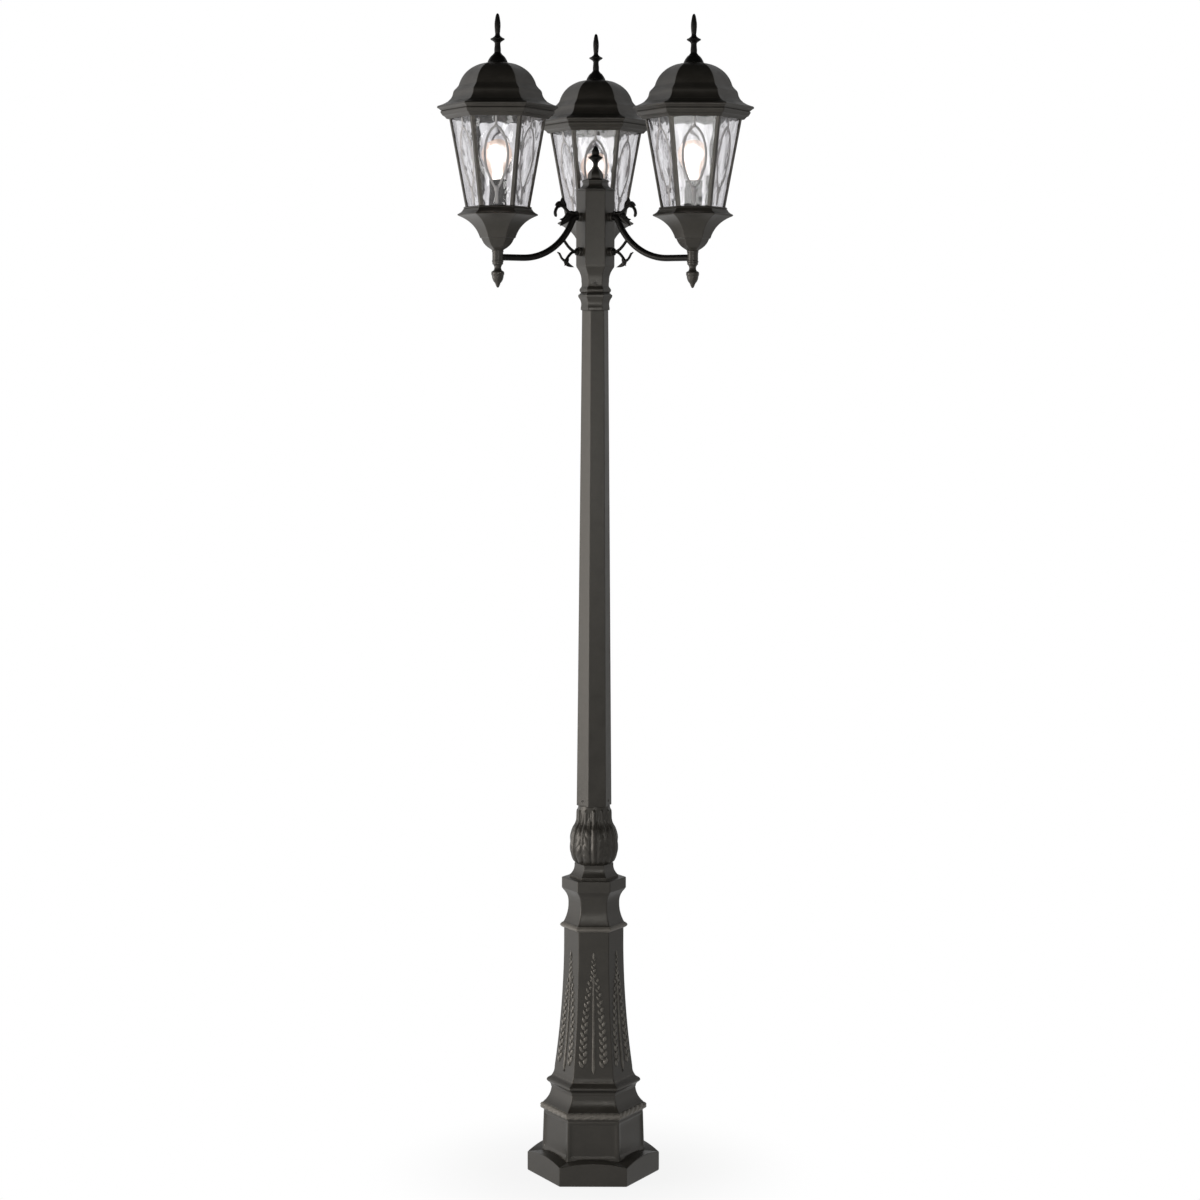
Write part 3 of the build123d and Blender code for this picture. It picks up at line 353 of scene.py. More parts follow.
def metal_coat(name, dark, light, worn, roughness, specular=0.3, metallic=0.0, wear=0.5,
               dust=0.12, grain=850.0, bump=0.25):
    """A coated or bare metal: two tones by grain, worn edges, dust, and a bump."""
    material, tree, shader = finish_of(name)
    texture = group_in(tree, cast_grain, Grain=grain)
    edges = group_in(tree, edge_wear, Amount=wear)
    dusty = group_in(tree, settled_dust, Amount=dust)
    tone = fade(tree, texture.outputs["Tone"], 0.28, 0.72)
    colour = blend_colours(tree, tone, (*dark, 1.0), (*light, 1.0))
    colour = blend_colours(tree, edges.outputs["Mask"], colour, (*worn, 1.0))
    colour = blend_colours(tree, dusty.outputs["Mask"], colour, DUST_COLOUR)
    tree.links.new(colour, shader.inputs["Base Color"])
    rough = sums(tree, "MULTIPLY_ADD", tone, 0.12, roughness - 0.06)
    rough = sums(tree, "MULTIPLY_ADD", edges.outputs["Mask"], -0.1, rough)
    rough = sums(tree, "MULTIPLY_ADD", dusty.outputs["Mask"], 0.3, rough, clamp=True)
    tree.links.new(rough, shader.inputs["Roughness"])
    shader.inputs["Metallic"].default_value = metallic
    shader.inputs["Specular IOR Level"].default_value = specular
    shader.inputs["Specular Tint"].default_value = (1.0, 0.96, 0.90, 1.0)
    bump_on(tree, shader, texture.outputs["Height"], bump, GRAIN_DEPTH)
    return material


print("recipe for metals ready")

# %% The post's metals
cast_black = metal_coat(
    "cast_black", dark=(0.030, 0.0275, 0.0228), light=(0.044, 0.0405, 0.0345),
    worn=(0.15, 0.135, 0.115), roughness=0.36, specular=0.5)
# painted highlight: the wheat's coat is paler than the cast black, for the light its raised grains
# catch; its edges also wear
relief_wear_and_painted_highlight = metal_coat(
    "relief_wear_and_painted_highlight", dark=(0.085, 0.078, 0.068), light=(0.135, 0.126, 0.110),
    worn=(0.24, 0.225, 0.20), roughness=0.34, specular=0.6, wear=0.9)
# partly wear, partly painted highlight: a much paler coat and heavy edge wear for the light that
# the rope's and bead's crests catch
ridge_wear_and_painted_highlight = metal_coat(
    "ridge_wear_and_painted_highlight", dark=(0.15, 0.139, 0.123), light=(0.215, 0.20, 0.178),
    worn=(0.30, 0.283, 0.255), roughness=0.44, specular=0.5, wear=0.9)
tube_black = metal_coat(
    "tube_black", dark=(0.004, 0.004, 0.0036), light=(0.008, 0.0075, 0.007),
    worn=(0.035, 0.032, 0.028), roughness=0.38, specular=0.2, wear=0.3, dust=0.08)
sleeve_black = metal_coat(
    "sleeve_black", dark=(0.014, 0.013, 0.012), light=(0.026, 0.024, 0.021),
    worn=(0.12, 0.115, 0.105), roughness=0.26, specular=0.5, wear=0.6, dust=0.0)
screw_steel = metal_coat(
    "screw_steel", dark=(0.36, 0.36, 0.37), light=(0.50, 0.50, 0.51),
    worn=(0.66, 0.66, 0.67), roughness=0.36, metallic=1.0, wear=0.7, dust=0.1, grain=1600.0)
coated_screw = metal_coat(
    "coated_screw", dark=(0.020, 0.019, 0.018), light=(0.034, 0.032, 0.030),
    worn=(0.14, 0.13, 0.12), roughness=0.36, specular=0.5, wear=1.0, dust=0.1)
cap_metal = metal_coat(
    "cap_metal", dark=(0.62, 0.52, 0.30), light=(0.80, 0.70, 0.46),
    worn=(0.9, 0.84, 0.66), roughness=0.28, metallic=1.0, wear=0.5, dust=0.0, grain=1400.0,
    bump=0.1)
print("metals made")

# %% [markdown]
# The lamp holder is glazed porcelain: a white body under a clear glaze that pools and crazes. The
# bulb is frosted inside and lit, so it glows, and towards its outline as seen its glow and colour
# are painted darker and warmer, a painted shading of the glow. The panes are drawn water glass.
# Their ripples are real shape in the mesh, so their material stays plain clear glass with a faint
# grey-lavender tint, painted darker along the streak number that the mesh carries: painted shade
# for dark things seen through the glass. Rays that only carry shadow pass straight through it, or
# no lamp would reach the bulb's holder.

# %% Porcelain
porcelain, tree, shader = finish_of("porcelain")
pooling = noise(tree, 90.0, 3.0)
specks = add_node(tree, "ShaderNodeTexVoronoi", {"Vector": object_place(tree), "Scale": 420.0})
glaze = blend_colours(tree, pooling, (0.80, 0.785, 0.735, 1), (0.89, 0.88, 0.85, 1))
glaze = blend_colours(tree, fade(tree, specks.outputs["Distance"], 0.16, 0.05), glaze,
                      (0.45, 0.40, 0.33, 1))
tree.links.new(glaze, shader.inputs["Base Color"])
tree.links.new(fade(tree, pooling, 0.3, 0.7, 0.12, 0.24), shader.inputs["Roughness"])
shader.inputs["Coat Weight"].default_value = 0.6
shader.inputs["Coat Roughness"].default_value = 0.05
bump_on(tree, shader, pooling, 0.2, 0.0006)
print("porcelain", len(tree.nodes), "nodes")

# %% Bulb
bulb_glass, tree, shader = finish_of("bulb_glass")
frost = noise(tree, 1300.0, 2.0)
# painted shading of the glow: by viewing angle, colour and glow turn darker and warmer towards the
# bulb's outline
rim = add_node(tree, "ShaderNodeLayerWeight", {"Blend": 0.5})
glow_painted_falloff = blend_colours(tree, fade(tree, rim.outputs["Facing"], 0.10, 0.40),
                      (1.0, 0.975, 0.93, 1), (0.46, 0.37, 0.32, 1))
tree.links.new(glow_painted_falloff, shader.inputs["Base Color"])
tree.links.new(glow_painted_falloff, shader.inputs["Emission Color"])
shader.inputs["Emission Strength"].default_value = 1.15
tree.links.new(fade(tree, frost, 0.3, 0.7, 0.38, 0.52), shader.inputs["Roughness"])
shader.inputs["Transmission Weight"].default_value = 0.15
bump_on(tree, shader, frost, 0.15, 0.0002)
print("bulb", len(tree.nodes), "nodes")

# %% Water glass
def clear_glass(name, pale, deep, roughness):
    """Clear glass whose colour is painted darker along the mesh's streak number, painted shade for
    dark things seen through it, and that lets shadow rays by.
    """
    material, tree, shader = finish_of(name)
    painted_streak = add_node(tree, "ShaderNodeAttribute", attribute_name="painted_streak")
    seeds = noise(tree, 260.0, 2.0)
    # painted shade: the colour goes from nearly white to dark grey-lavender along the streak
    # number
    tint = blend_colours(tree, painted_streak.outputs["Fac"], (*pale, 1.0), (*deep, 1.0))
    tree.links.new(tint, shader.inputs["Base Color"])
    tree.links.new(fade(tree, seeds, 0.45, 0.75, roughness, roughness + 0.08),
                   shader.inputs["Roughness"])
    bump_on(tree, shader, seeds, 0.12, 0.0004)
    shader.inputs["Transmission Weight"].default_value = 1.0
    shader.inputs["IOR"].default_value = 1.46
    passing = add_node(tree, "ShaderNodeBsdfTransparent", {"Color": (0.9, 0.9, 0.92, 1.0)})
    mixed = add_node(tree, "ShaderNodeMixShader", {
        0: tree.nodes.new("ShaderNodeLightPath").outputs["Is Shadow Ray"],
        1: shader.outputs[0], 2: passing.outputs[0]})
    tree.links.new(mixed.outputs[0], tree.nodes["Material Output"].inputs["Surface"])
    return material


# the second colour is the painted shade of the streaks
water_glass = clear_glass("water_glass", (0.90, 0.895, 0.91), (0.44, 0.43, 0.44), 0.02)
print("water glass made")

# %% [markdown]
# ## Surfaces from profiles
# Nearly every casting here is one idea: an outline carried round an axis, along a circle for a
# turned piece or along a hexagon for the post and lanterns. Blender could spin a curve or bevel
# a solid, but a surface worked out with numpy is exact and easy to decorate. The outline is a
# list of stations: half width, level, and how far the line bulges on its way there. It is then
# softened, as sand casting softens every corner, and thinned to the points that carry its bends.

# %% Outlines
def outline(stations, step=1.5):
    """Points along an outline: chord plus bulge * 4t(1 - t), square to the chord and outwards."""
    rows = [np.array(stations[0][:2], float)[None]]
    for (near, low, _), (far, high, bulge) in zip(stations, stations[1:]):
        chord = np.array((far - near, high - low), float)
        length = np.hypot(*chord)
        t = np.linspace(0, 1, max(int(length / step), 1) * (bulge != 0) + 2)[1:, None]
        outward = np.array((chord[1], -chord[0])) / length
        rows.append(np.array((near, low)) + t * chord + bulge * 4 * t * (1 - t) * outward)
    return np.vstack(rows)


def soften(points, reach):
    """Rounds the corners: evenly spaced points, each the raised-cosine mean of those in reach."""
    run = np.concatenate([[0], np.cumsum(np.linalg.norm(np.diff(points, axis=0), axis=1))])
    half = 6
    along = np.linspace(0, run[-1], int(np.ceil(run[-1] * half / reach)) + 1)
    even = np.column_stack([np.interp(along, run, column) for column in points.T])
    weights = np.hanning(2 * half + 3)[1:-1]
    weights /= weights.sum()
    padded = np.pad(even, ((half, half), (0, 0)), mode="reflect", reflect_type="odd")
    return np.column_stack([np.convolve(column, weights, "valid") for column in padded.T])


def thin(points, turn=7.0, longest=14.0):
    """Keeps the points that carry the shape: one for every few degrees of turn or stretch."""
    steps = np.diff(points, axis=0)
    heading = np.unwrap(np.arctan2(steps[:, 1], steps[:, 0]))
    bend = np.degrees(np.abs(np.diff(heading, prepend=heading[0])))
    score = np.cumsum(np.hypot(*steps.T) / longest + bend / turn)
    kept = np.flatnonzero(np.diff(np.floor(score), prepend=-1))
    return points[np.unique(np.append(kept, len(points) - 1))]


def profile(stations, reach=1.2, turn=7.0, longest=14.0):
    """A softened and thinned outline."""
    return thin(soften(outline(stations), reach), turn, longest)


demo = profile([(10, 0, 0), (14, 8, 2), (9, 20, -1)])
print("a short outline becomes", len(demo), "points")

# %% Rings
class Ring:
    """Directions round an axis. A point of a skin lies at (half - r) * centre + r * normal, so r
    is the radius of a corner. share runs from -1 to 1 over each flat side."""

    def __init__(self, centre, normal, share):
        self.centre, self.normal, self.share = centre, normal, share


def unit(degrees):
    """Unit vectors along compass ways, measured from +X."""
    way = np.radians(degrees)
    return np.stack([np.cos(way), np.sin(way)], -1)


def once_round(steps):
    """Even angles once round a section, as one row."""
    return np.linspace(0, 2 * pi, steps, endpoint=False)[None]


def hexagon(corner_steps=4, shares=(), turn=0.0):
    """A ring with six rounded corners: at a corner the normal sweeps 60 degrees, along a side the
    centre slides from one corner to the next while the normal stands still."""
    shares = np.asarray(shares, float)
    corners = np.arange(6)[:, None] * 60.0 + turn
    sweep = np.linspace(-30, 30, corner_steps + 1)[None]
    here = unit(corners) / cos(radians(30))
    there = np.roll(here, -1, axis=0)
    blend = ((shares + 1) / 2)[None, :, None]
    centre = np.concatenate([
        np.repeat(here, corner_steps + 1, axis=1), here * (1 - blend) + there * blend], axis=1)
    flat = np.repeat(unit(corners + 30), len(shares), axis=1)
    normal = np.concatenate([unit(corners + sweep), flat], axis=1)
    ends = np.where(sweep[0] > 0, -1.0, 1.0)
    share = np.tile(np.concatenate([ends, shares]), 6)
    return Ring(centre.reshape(-1, 2), normal.reshape(-1, 2), share)


def circle(steps=48):
    """A ring that is round: centre and normal are the same, so a corner's radius is nothing."""
    normal = unit(np.arange(steps) * 360.0 / steps)
    return Ring(normal, normal, np.zeros(steps))


ROUND = 30.0  # a corner radius wider than any bore: the hexagon becomes a circle there


def skin(points, ring, corner=2.0):
    """Carries an outline round a ring: one row of points per station, corners of that radius."""
    half, level = points.T
    corner = np.minimum(corner, half)[:, None, None]
    plan = (half[:, None, None] - corner) * ring.centre + corner * ring.normal
    return np.dstack([plan, np.broadcast_to(level[:, None], plan.shape[:2])])


print("hexagon ring", len(hexagon().share), "directions")

# %% [markdown]
# A surface is a grid of points, so its faces follow from the grid alone. Two kinds of grid are
# enough: a skin closes round its axis, and a loop also closes from its last row to its first. A
# piece may hold several such shapes. When it becomes a mesh, points that coincide are merged,
# which closes poles and seams, faces are turned outwards, and shading is smoothed with weights
# by area, so large flats stay flat and only the small corner faces bend the light. An edge of
# more than about 60 degrees stays crisp, or the flat underside of the foot would look bent.

# %% From grids to shapes
def grid_shape(points, closed_rows=False):
    """A grid of points as a shape: its points in one list, and four corners for every face."""
    rows, columns = points.shape[:2]
    row = np.arange(rows if closed_rows else rows - 1)[:, None]
    column = np.arange(columns)[None]
    after, beside = (row + 1) % rows, (column + 1) % columns
    faces = np.stack([row * columns + column, row * columns + beside,
                      after * columns + beside, after * columns + column], -1)
    return points.reshape(-1, 3), faces.reshape(-1, 4)


def capped(points, ring):
    """A solid of an outline carried round a ring. The outline starts and ends on the axis."""
    return grid_shape(skin(points, ring))


def walled(points, ring, corner=2.0):
    """A hollow piece: a closed outline, out along the outside and back along the inside."""
    return grid_shape(skin(points, ring, corner), closed_rows=True)


def joined(*shapes):
    """Several shapes as one."""
    counts = np.cumsum([0] + [len(points) for points, _ in shapes])
    return (np.vstack([points for points, _ in shapes]),
            np.vstack([faces + first for (_, faces), first in zip(shapes, counts)]))


def moved(shape, move=(0, 0, 0), turn=0.0):
    """A shape turned about the post's axis and then moved."""
    points, faces = shape
    c, s = cos(radians(turn)), sin(radians(turn))
    spin = np.array([[c, s, 0], [-s, c, 0], [0, 0, 1]])
    return points @ spin + np.asarray(move, float), faces


def aimed(shape, way, distance, level):
    """A shape made on the upright axis, laid down so that its axis points out along a way."""
    points, faces = shape
    outward, across = (*unit(way), 0.0), (*unit(way + 90.0), 0.0)
    turned = points @ np.array([across, (0, 0, 1), outward])
    return turned + np.array((*(unit(way) * distance), level)), faces


demo = capped(np.array([(0, 0), (10, 0), (10, 20), (0, 20)]), hexagon())
print("a plain hexagonal block has", len(demo[1]), "faces")

# %% From shapes to pieces
MERGE_WITHIN = 2e-6  # metres
CRISP_ANGLE = 62.0


def ridge_of(mesh):
    """How sharply the surface falls away at each point: the mean over its edges of the drop
    below the tangent plane per length, between 0 and 1."""
    count, edges = len(mesh.vertices), np.empty(len(mesh.edges) * 2, int)
    place, normal = np.empty(count * 3), np.empty(count * 3)
    mesh.edges.foreach_get("vertices", edges)
    mesh.vertices.foreach_get("co", place)
    mesh.vertex_normals.foreach_get("vector", normal)
    first, second = edges.reshape(-1, 2).T
    place, normal = place.reshape(-1, 3), normal.reshape(-1, 3)
    step = place[second] - place[first]
    step /= np.linalg.norm(step, axis=1, keepdims=True) + 1e-12
    drop, used = np.zeros(count), np.zeros(count)
    np.add.at(drop, first, -(step * normal[first]).sum(1))
    np.add.at(drop, second, (step * normal[second]).sum(1))
    np.add.at(used, edges, 1)
    return np.clip(drop / np.maximum(used, 1) * 2.2, 0, 1)


def make(name, shape, material, replaces=(), body="root", slot="cast_black", numbers=None):
    """A shape in millimetres becomes a finished piece: merged, facing out, shaded and placed."""
    points, faces = shape
    mesh = bpy.data.meshes.new(name)
    corners = [face if face[2] != face[3] else face[:3] for face in faces.tolist()]
    mesh.from_pydata((points * MM).tolist(), [], corners)
    for title, values in (numbers or {}).items():
        mesh.attributes.new(title, "FLOAT", "POINT").data.foreach_set(
            "value", np.asarray(values, np.float32))
    work = bmesh.new()
    work.from_mesh(mesh)
    bmesh.ops.remove_doubles(work, verts=work.verts, dist=MERGE_WITHIN)
    bmesh.ops.recalc_face_normals(work, faces=work.faces)
    work.to_mesh(mesh)
    work.free()
    mesh.shade_smooth()
    mesh.set_sharp_from_angle(angle=radians(CRISP_ANGLE))
    mesh.attributes.new("ridge", "FLOAT", "POINT").data.foreach_set(
        "value", ridge_of(mesh).astype(np.float32))
    mesh.materials.append(material)
    piece = bpy.data.objects.new(name, mesh)
    bpy.context.scene.collection.objects.link(piece)
    piece.modifiers.new("even_shading", "WEIGHTED_NORMAL").keep_sharp = True
    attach(piece, body)
    if replaces:
        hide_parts(*replaces)
    print(f"{name}: {len(mesh.polygons)} faces")

# %% [markdown]
# ## Base block
# The foot is one casting: a flange whose six sides rise in low arches, a block with a sunk panel
# on each face, and mouldings above. Its outline goes up the outside, down the inside of the
# spigot that carries the pedestal, and back under the wall. The arches need more columns along
# each side, and the panels need rows and columns just where their bevels start and end, because
# a bevel is only crisp if the grid has a line there. Both are then simple heights added to the
# skin: a parabola on the flange's top, and a clipped distance to the panel's edge, square in.

# %% Outline of the base block
base_top, spigot_top = span("pedestal")[0], span("base_block")[1]
FLANGE_HALF, FLANGE_EDGE, FLANGE_CROWN, ARCH_FROM = 121.5, 40.0, 9.0, 4.0
PANEL_FOOT, PANEL_HEAD, PANEL_SHARE, PANEL_BEVEL, PANEL_DEPTH = 52.0, 126.0, 0.945, 5.5, 2.6
WALL_FOOT, WALL_TAPER, WALL_HEIGHT, INNER_HALF, BASE_CORNER = 95.3, 3.6, 128.0, 82.0, 2.6

panel_lines = np.array([PANEL_SHARE, PANEL_SHARE - 0.05, PANEL_SHARE - 0.1, 0.7, 0.5, 0.3, 0.1])
side_lines = np.concatenate([-panel_lines, panel_lines[::-1]])
side_lines = np.sort(np.concatenate([side_lines, [-0.978, 0.978]]))
base_ring = hexagon(4, side_lines)

flange = soften(outline([(FLANGE_HALF - 0.8, 0, 0), (FLANGE_HALF, 1.2, 0),
                         (FLANGE_HALF, FLANGE_EDGE, 0), (94.4, FLANGE_EDGE, 0)]), 3.0)
flange = thin(flange, 8.0, 9.0)
panel_rows = np.concatenate([
    [PANEL_FOOT - 3], PANEL_FOOT + np.array([0, 0.5, 1]) * PANEL_BEVEL, np.linspace(66, 112, 5),
    PANEL_HEAD - np.array([1, 0.5, 0]) * PANEL_BEVEL])
wall = np.column_stack([WALL_FOOT - WALL_TAPER * panel_rows / WALL_HEIGHT, panel_rows])
upper = profile([(91.75, 127.0, 0), (91.7, 128.0, 0), (92.6, 133.0, -1.0), (92.6, 149.0, 0),
                 (77.8, 179, -3.0), (78.2, 183.0, -0.6), (81.4, 191.0, -0.8), (81.4, 203.5, 5.2),
                 (76.6, 207.5, -0.5), (76, base_top, 0)], 1.0, 7.0, 9.0)
spigot = np.array([(68.0, base_top), (66.5, base_top + 2), (64.5, spigot_top),
                   (60.3, spigot_top), (64.0, base_top - 8), (62.0, base_top - 30)])
inner = np.array([(80.0, WALL_HEIGHT), (INNER_HALF, 40.0), (INNER_HALF, 10.0), (INNER_HALF, 0.0)])
rows = np.vstack([flange, [(95.0, FLANGE_EDGE + 1.5)], wall, upper, spigot, inner])
row_number = np.arange(len(rows))[:, None]
block = skin(rows, base_ring, BASE_CORNER)
print("base block", len(rows), "rows of", len(base_ring.share), "points")

# %% Arched flange and sunk panels
# the flange's arched top: level += crown * (1 - (nearest side's offset / half side) squared)
across = np.stack([np.abs(block[..., :2] @ unit(way)) for way in (0.0, 60.0, 120.0)])
arch = FLANGE_CROWN * np.clip(1 - (across.min(0) / (FLANGE_HALF * tan(pi / 6))) ** 2, 0, 1)
risen = np.clip((block[..., 2] - ARCH_FROM) / (FLANGE_EDGE - ARCH_FROM), 0, 1)
block[..., 2] += arch * risen * (row_number <= len(flange))

# the sunk panels: depth * clip(distance inside the panel's edge / bevel), square to the face
side_half = rows[:, :1] * tan(pi / 6)
inside = np.minimum((PANEL_SHARE - np.abs(base_ring.share))[None] * side_half,
                    np.minimum(block[..., 2] - PANEL_FOOT, PANEL_HEAD - block[..., 2]))
on_wall = (row_number > len(flange)) & (row_number <= len(flange) + len(wall))
sunk = PANEL_DEPTH * np.clip(inside / PANEL_BEVEL, 0, 1) * on_wall
block[..., :2] -= sunk[..., None] * base_ring.normal
base_shell = grid_shape(block, closed_rows=True)
print("arches rise", FLANGE_CROWN, "mm and panels lie", PANEL_DEPTH, "mm deep")

# %% Floor plate of the base
def plate_with_holes(outer, holes, low, high):
    """A flat plate: closed lines filled in between, as Blender fills a 2-D curve, then raised."""
    curve = bpy.data.curves.new("plate", "CURVE")
    curve.dimensions, curve.fill_mode = "2D", "BOTH"
    curve.extrude = (high - low) / 2
    for line in (outer, *holes):
        spline = curve.splines.new("POLY")
        spline.points.add(len(line) - 1)
        spline.points.foreach_set("co", np.column_stack(
            [line, np.zeros(len(line)), np.ones(len(line))]).ravel())
        spline.use_cyclic_u = True
    holder = bpy.data.objects.new("plate", curve)
    bpy.context.scene.collection.objects.link(holder)
    mesh = bpy.data.meshes.new_from_object(
        holder.evaluated_get(bpy.context.evaluated_depsgraph_get()))
    points = np.empty(len(mesh.vertices) * 3)
    mesh.vertices.foreach_get("co", points)
    faces = [list(face.vertices) for face in mesh.polygons]
    faces = np.array([face + face[-1:] * (4 - len(face)) for face in faces])
    bpy.data.objects.remove(holder)
    return points.reshape(-1, 3) + (0, 0, (low + high) / 2), faces


CABLE_RADIUS, BOLT_CIRCLE, BOLT_RADIUS, PLATE_THICK = 35.0, 70.0, 6.5, 10.0
plate = plate_with_holes(
    unit(np.arange(6) * 60.0) * INNER_HALF / cos(pi / 6),
    [unit(np.arange(48) * 7.5) * CABLE_RADIUS] + [
        unit(way) * BOLT_CIRCLE + unit(np.arange(24) * 15.0) * BOLT_RADIUS
        for way in (45, 135, 225, 315)],
    0.0, PLATE_THICK)
print("floor plate", len(plate[1]), "faces")

# %% [markdown]
# ## Rope moulding
# A rope runs round the head of the block: in the casting it is a half-round band cut by slanting
# grooves, six strands to a side. It could be a real twisted cord, but the groove pattern is all
# that the mould leaves, so the band's radius swells and sinks along a phase that advances both
# along the side and round the section, which is what makes the strands lean. It is a piece of
# its own, let into the block, because it takes a paler finish: partly wear on its strands and
# partly a painted highlight for the light they catch.

# %% Rope moulding
ROPE_LEVEL, ROPE_RADIUS, ROPE_HALF, STRANDS = 141.0, 7.2, 91.8, 6
ROPE_BACK, ROPE_CORNER, GROOVE = 88.0, 2.0, 0.24
rope_ring = hexagon(2, np.linspace(-1, 1, STRANDS * 9 + 1)[1:-1])
around = np.radians(np.linspace(-100, 100, 15))[:, None]
phase = pi * (STRANDS * (rope_ring.share[None] + 1) / 2 - around / 1.9)
swell = ROPE_RADIUS * (1 - GROOVE + GROOVE * np.sqrt(np.abs(np.sin(phase))))
plan_half = ROPE_HALF + swell * np.cos(around)
rope = np.dstack([
    (plan_half[..., None] - ROPE_CORNER) * rope_ring.centre + ROPE_CORNER * rope_ring.normal,
    ROPE_LEVEL + swell * np.sin(around)])
rope_back = np.array([(ROPE_BACK, ROPE_LEVEL + 3), (ROPE_BACK, ROPE_LEVEL - 3)])
rope = np.concatenate([rope, skin(rope_back, rope_ring, ROPE_CORNER)])
make("base_casting", joined(base_shell, plate), cast_black, replaces=["base_block"])
# the rope's paler finish is partly wear and partly a painted highlight
make("rope_moulding", grid_shape(rope, closed_rows=True), ridge_wear_and_painted_highlight)

# %% [markdown]
# ## Pedestal
# The pedestal slips over the base's spigot and is held by three set screws. Its six faces flare
# in a long hollow curve, a flat band parts the die from the cavetto above, and the top plate
# carries the collar. One skin again, out and back, with a round hole at the top: the corner
# radius can grow until it reaches the whole half width, and there the hexagon has turned into a
# circle. The band carries a bead, which is a piece of its own like the rope.

# %% Pedestal casting
ped_foot, ped_top = span("pedestal")
PEDESTAL_CORNER = 3.6
pedestal_out = profile([
    (76, ped_foot, 0), (71.9, ped_foot + 17, -1.2), (54.8, ped_top - 148.5, -3.6),
    (54.8, ped_top - 108.0, 0), (56.6, ped_top - 106.0, 0), (56.6, ped_top - 96.0, 0),
    (55.2, ped_top - 94.2, 0), (47, ped_top - 51.8, -2.6), (56.0, ped_top - 27.0, -2.4),
    (59, ped_top - 22.5, 0),
    (59, ped_top - 0.8, 0), (58.2, ped_top, 0)], 1.1, 7.0, 22.0)
pedestal_in = np.array([
    (21.3, ped_top), (21.3, ped_top - 14), (41.0, ped_top - 14.0), (41.0, ped_top - 80.0),
    (48.8, ped_top - 148.5), (54.5, ped_foot + 130.0), (65.9, ped_foot + 17), (68.0, ped_foot)])
pedestal_rows = np.vstack([pedestal_out, pedestal_in])
pedestal_corner = np.full(len(pedestal_rows), PEDESTAL_CORNER)
pedestal_corner[len(pedestal_out):len(pedestal_out) + 2] = ROUND
pedestal_shell = walled(pedestal_rows, hexagon(8), pedestal_corner)
print("pedestal's outline", len(pedestal_rows), "rows")

# %% [markdown]
# Each face of the pedestal carries the same relief, a stalk with two ears of wheat that spread
# towards the foot and a single spike above them, a founder's stock ornament. A grain is a small
# pointed drop, and there are hundreds, so one low drop of a few dozen faces is copied by array
# arithmetic: every grain has a place on the face, a lean and a size, and all of them are turned,
# scaled and placed at once. The face is hollow, so the placing reads the pedestal's own outline.

# %% Grains
def drop_shape(rings=5, steps=8):
    """A pointed grain, one unit long: radius 0.5 * sin(pi t) ** 0.8 * (1.12 - 0.4 t)."""
    t, a = np.linspace(0, 1, rings + 2)[:, None], once_round(steps)
    r = 0.5 * np.sin(pi * t) ** 0.8 * (1.12 - 0.4 * t)
    return grid_shape(np.dstack(np.broadcast_arrays(r * np.cos(a), r * np.sin(a), t - 0.5)))


def many(shape, turns, scales, places):
    """Copies of one shape: each point is scaled, turned by its copy's matrix, and placed."""
    points, faces = shape
    copies = np.einsum("nij,npj->npi", turns, points[None] * scales[:, None]) + places[:, None]
    shifted = faces[None] + (np.arange(len(places)) * len(points))[:, None, None]
    return copies.reshape(-1, 3), shifted.reshape(-1, 4)


def leaning(degrees, tipped):
    """Matrices that lean a copy in the plane of the face, and tip its head out of it."""
    a, b = np.radians(degrees), np.radians(np.broadcast_to(tipped, np.shape(degrees)))
    zero, one = np.zeros_like(a), np.ones_like(a)
    in_plane = np.array([[np.cos(a), zero, np.sin(a)], [zero, one, zero],
                         [-np.sin(a), zero, np.cos(a)]]).transpose(2, 0, 1)
    tip = np.array([[one, zero, zero], [zero, np.cos(b), np.sin(b)],
                    [zero, -np.sin(b), np.cos(b)]]).transpose(2, 0, 1)
    return in_plane @ tip


print("a grain has", len(drop_shape()[1]), "faces")

# %% Wheat relief
def ear(foot, head, bend, pairs, length, width):
    """Grains in pairs along a curved line from foot to head, in the plane of a face."""
    t = (np.arange(pairs * 2) // 2 + 0.5) / pairs
    side = np.where(np.arange(pairs * 2) % 2, 1.0, -1.0)
    t = t + side * 0.22 / pairs
    line = np.array(foot) + t[:, None] * np.subtract(head, foot)
    line[:, 0] += bend * 4 * t * (1 - t)
    heading = np.degrees(np.arctan2(
        head[0] - foot[0] + bend * 4 * (1 - 2 * t), head[1] - foot[1]))
    taper = 1.0 - 0.45 * t
    x = line[:, 0] + side * width * 0.46 * taper
    return x, line[:, 1], heading + side * 27.0, length * taper, width * taper


# two ears, the spike above them, and a single grain each at the spike's tip and at its root
grains = [ear((-21.5, 243), (-5.4, 428), -4.0, 12, 19.0, 9.6),
          ear((21.5, 243), (5.4, 428), 4.0, 12, 19.0, 9.6),
          ear((0, 425), (0, 470), 0.0, 4, 14.0, 7.0),
          ([0.0, 0.0], [474.0, 421.0], [0.0, 0.0], [17.0, 15.0], [5.0, 6.0])]
x, z, lean, length, width = (np.concatenate(column) for column in zip(*grains))


def die_face(level):
    """Half width of the pedestal at a level, read off its own outline."""
    return np.interp(level, pedestal_out[:, 1], pedestal_out[:, 0])


scales = np.column_stack([width, width * 0.62, length])
wheat = many(drop_shape(), leaning(lean, 7.0), scales,
             np.column_stack([x, -(die_face(z) + 0.5), z]))

